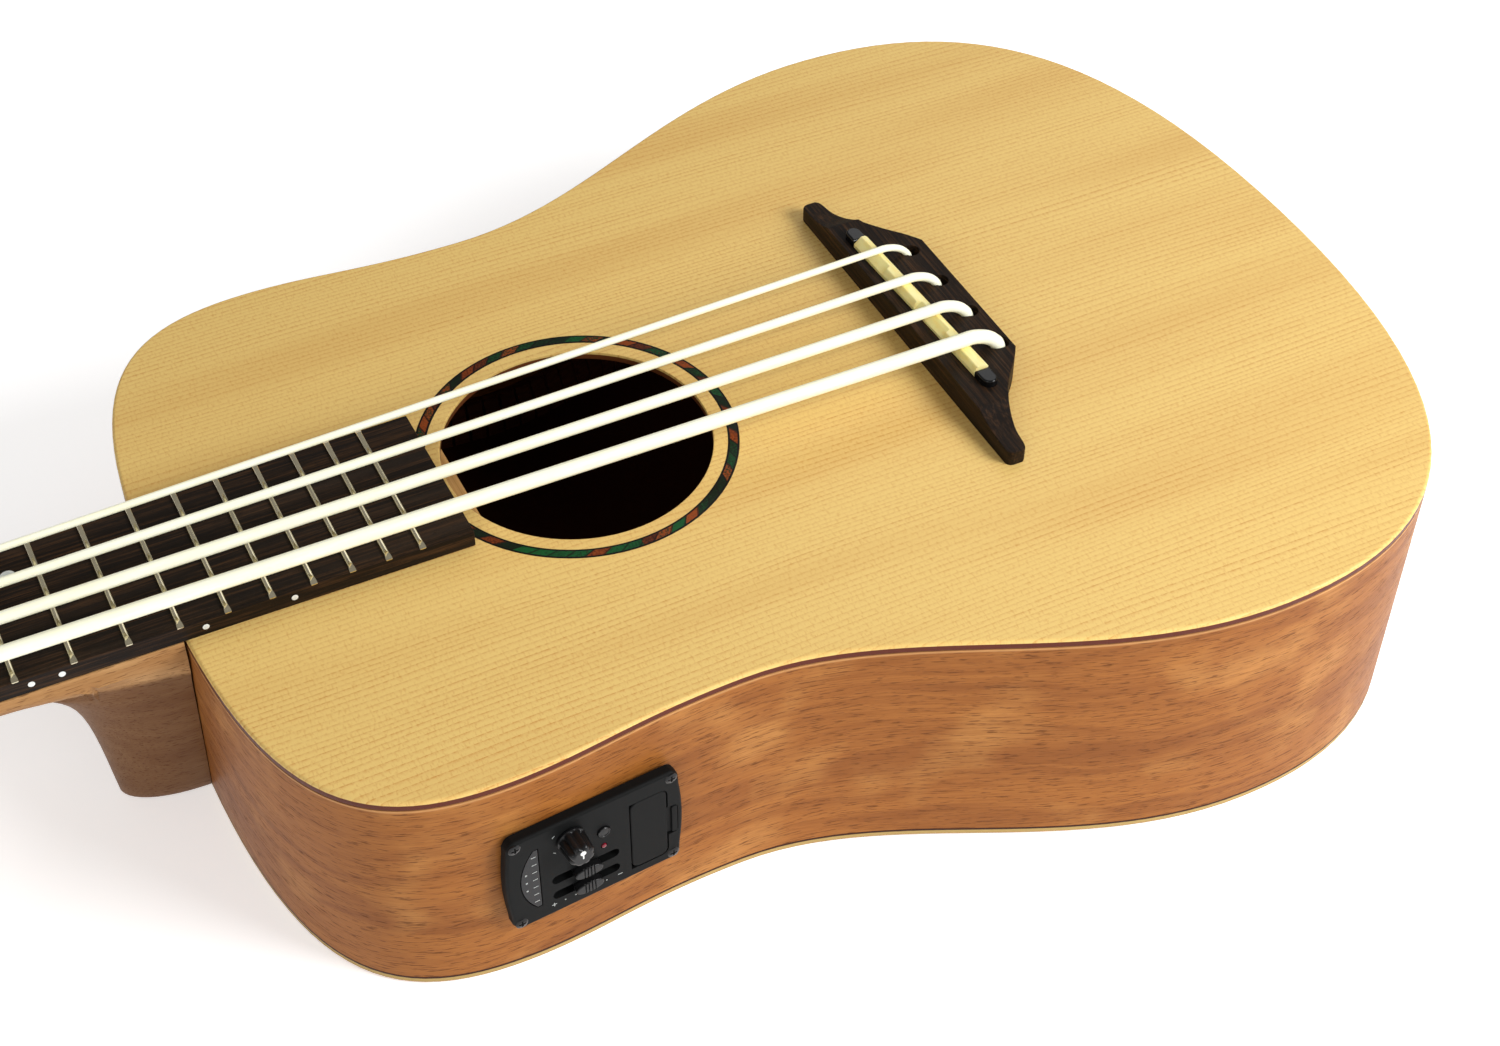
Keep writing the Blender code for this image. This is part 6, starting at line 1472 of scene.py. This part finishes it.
def makeJack():                         # also the strap's peg
    jack = turn(((3.4, 11.0), (3.4, -19.0), (3.0, -19.3), (0, -19.4), (0, -25.0), (5.4, -25.0), (5.9, -24.5),
                 (5.9, 0.1), (8.0, 0.1), (8.1, 0.6), (8.0, 1.5), (7.2, 2.0), (6.3, 2.6), (6.1, 4.0),
                 (6.2, 6.6), (7.0, 7.8), (7.6, 8.4), (7.6, 10.0), (7.2, 10.7), (6.6, 11.0), (4.4, 11.0),
                 (3.9, 10.6)), 48, True)
    addPiece("strapJack", jack, drawing @ tailFace, "steel", stands=("output_jack",), crease=30)


makeJack()


def makeLeads():
    lead = {"radius": 1.1, "holeInset": 4.0, "jackEnd": 25.9}
    holeX = bridge["saddleLength"] / 2 - lead["holeInset"]
    holeY = saddleLine(holeX) - bridge["saddleWidth"] / 2
    inside = body["tailY"] + lead["jackEnd"]
    middle = tailFace.translation.z
    routes = {
        "pickup": [(holeX, holeY, 2.7), (holeX, holeY, -8.5), (holeX, holeY, -15),
                   (holeX - 6, holeY + 6, -26), (4, -86, -32), (-34, -20, -36),
                   panelLocal @ Vector((-10, 2, -36.9)), panelLocal @ Vector((-10, 2, -24.9))],
        "jack": [(0, inside, middle), (0, inside + 14, middle), (-30, -170, -42), (-62, -100, -42),
                 (-58, -20, -44), panelLocal @ Vector((-2, -4, -36.9)), panelLocal @ Vector((-2, -4, -24.9))],
    }
    for name, route in routes.items():
        sleeve = tube(curvePoints(route, 8), lead["radius"], 4)
        addPiece(name + "Lead", sleeve, drawing, "lead", stands=(name + "_lead",), crease=60)


makeLeads()

# solids whose own shape is right keep it and get a finish
kept = {
    "truss_rod": "steel", "pickup_strip": "brass", "preamp_housing": "plastic", "preamp_circuit": "circuit",
    "battery_cell_inner": "steel", "battery_cell_outer": "steel", "jack_nut": "steel",
}
for node, finish in kept.items():
    piece = frame["nodes"][node]
    piece.data.materials.clear()
    piece.data.materials.append(finishes[finish])
print("preamp and fittings done")


# Camera, floor and light
def makeCamera():
    view = {"place": (-481.29, 186.08, 480.07), "azimuth": -116.82, "elevation": 45.0, "roll": 0.37,
            "lens": 57.33, "film": 36.0}
    azimuth, elevation, roll = (math.radians(view[key]) for key in ("azimuth", "elevation", "roll"))
    back = Vector((math.sin(azimuth) * math.cos(elevation), -math.cos(azimuth) * math.cos(elevation),
                   math.sin(elevation)))
    level = Vector((0, 0, 1)).cross(back).normalized()
    rise = back.cross(level)
    right = level * math.cos(roll) + rise * math.sin(roll)
    up = rise * math.cos(roll) - level * math.sin(roll)
    data = bpy.data.cameras.new("camera")
    data.lens = view["lens"]
    data.sensor_width = view["film"]
    data.clip_start = 0.01
    camera = bpy.data.objects.new("camera", data)
    turned = drawing.to_3x3() * (1 / mm)
    columns = [turned @ axis for axis in (right, up, back)] + [drawing @ Vector(view["place"])]
    rows = [[column[row] for column in columns] for row in range(3)]
    camera.matrix_world = Matrix(rows + [[0, 0, 0, 1]])
    bpy.context.scene.collection.objects.link(camera)
    bpy.context.scene.camera = camera


def makeFloor():
    look = {"half": 6.0, "drop": 0.2, "pale": (250, 250, 250), "shade": (246, 246, 247)}
    bm = bmesh.new()
    bmesh.ops.create_grid(bm, x_segments=1, y_segments=1, size=look["half"])
    bmesh.ops.translate(bm, vec=(0, 0, cadBox[0][2] - look["drop"] * mm), verts=bm.verts)
    mesh = bpy.data.meshes.new("floor")
    bm.to_mesh(mesh)
    bm.free()
    f = Finish("floor", {"Roughness": 0.9, "Specular IOR Level": 0.1, "Emission Color": (1, 1, 1, 1),
                         "Emission Strength": 0.5})
    x, y, z = f.axes(Matrix.Scale(mm, 4))
    cloud = f.noise(f.vector(x * 0.01, y * 0.01, 0.0))
    f.give("Base Color", f.mix(cloud, colour(*look["pale"]), colour(*look["shade"])))
    mesh.materials.append(f.material)
    floor = bpy.data.objects.new("floor", mesh)
    bpy.context.scene.collection.objects.link(floor)


def makeLights():
    lamps = (                           # name, place, target, size in metres and power
        ("key", (-0.75, -0.6, 0.72), (-0.05, -0.05, 0.05), 0.6, 13.5),
        ("sheen", (0.75, -0.75, 1.2), (0.0, -0.1, 0.05), 1.0, 3.0),
        ("head", (-1.0, 1.2, 1.0), (0.0, 0.1, 0.05), 0.8, 5.0),
    )
    room = {"tint": (1.0, 0.98, 0.95, 1), "power": 0.3}
    for name, place, target, size, power in lamps:
        data = bpy.data.lights.new(name, "AREA")
        data.shape = "DISK"
        data.size = size
        data.energy = power
        lamp = bpy.data.objects.new(name, data)
        lamp.location = place
        lamp.rotation_euler = (Vector(target) - Vector(place)).to_track_quat("-Z", "Y").to_euler()
        bpy.context.scene.collection.objects.link(lamp)
    world = bpy.data.worlds.new("studio")
    world.use_nodes = True
    background = world.node_tree.nodes["Background"]
    background.inputs["Color"].default_value = room["tint"]
    background.inputs["Strength"].default_value = room["power"]
    bpy.context.scene.world = world
    bpy.context.scene.view_settings.view_transform = "Standard"


makeCamera()
makeFloor()
makeLights()
print("stage ready")
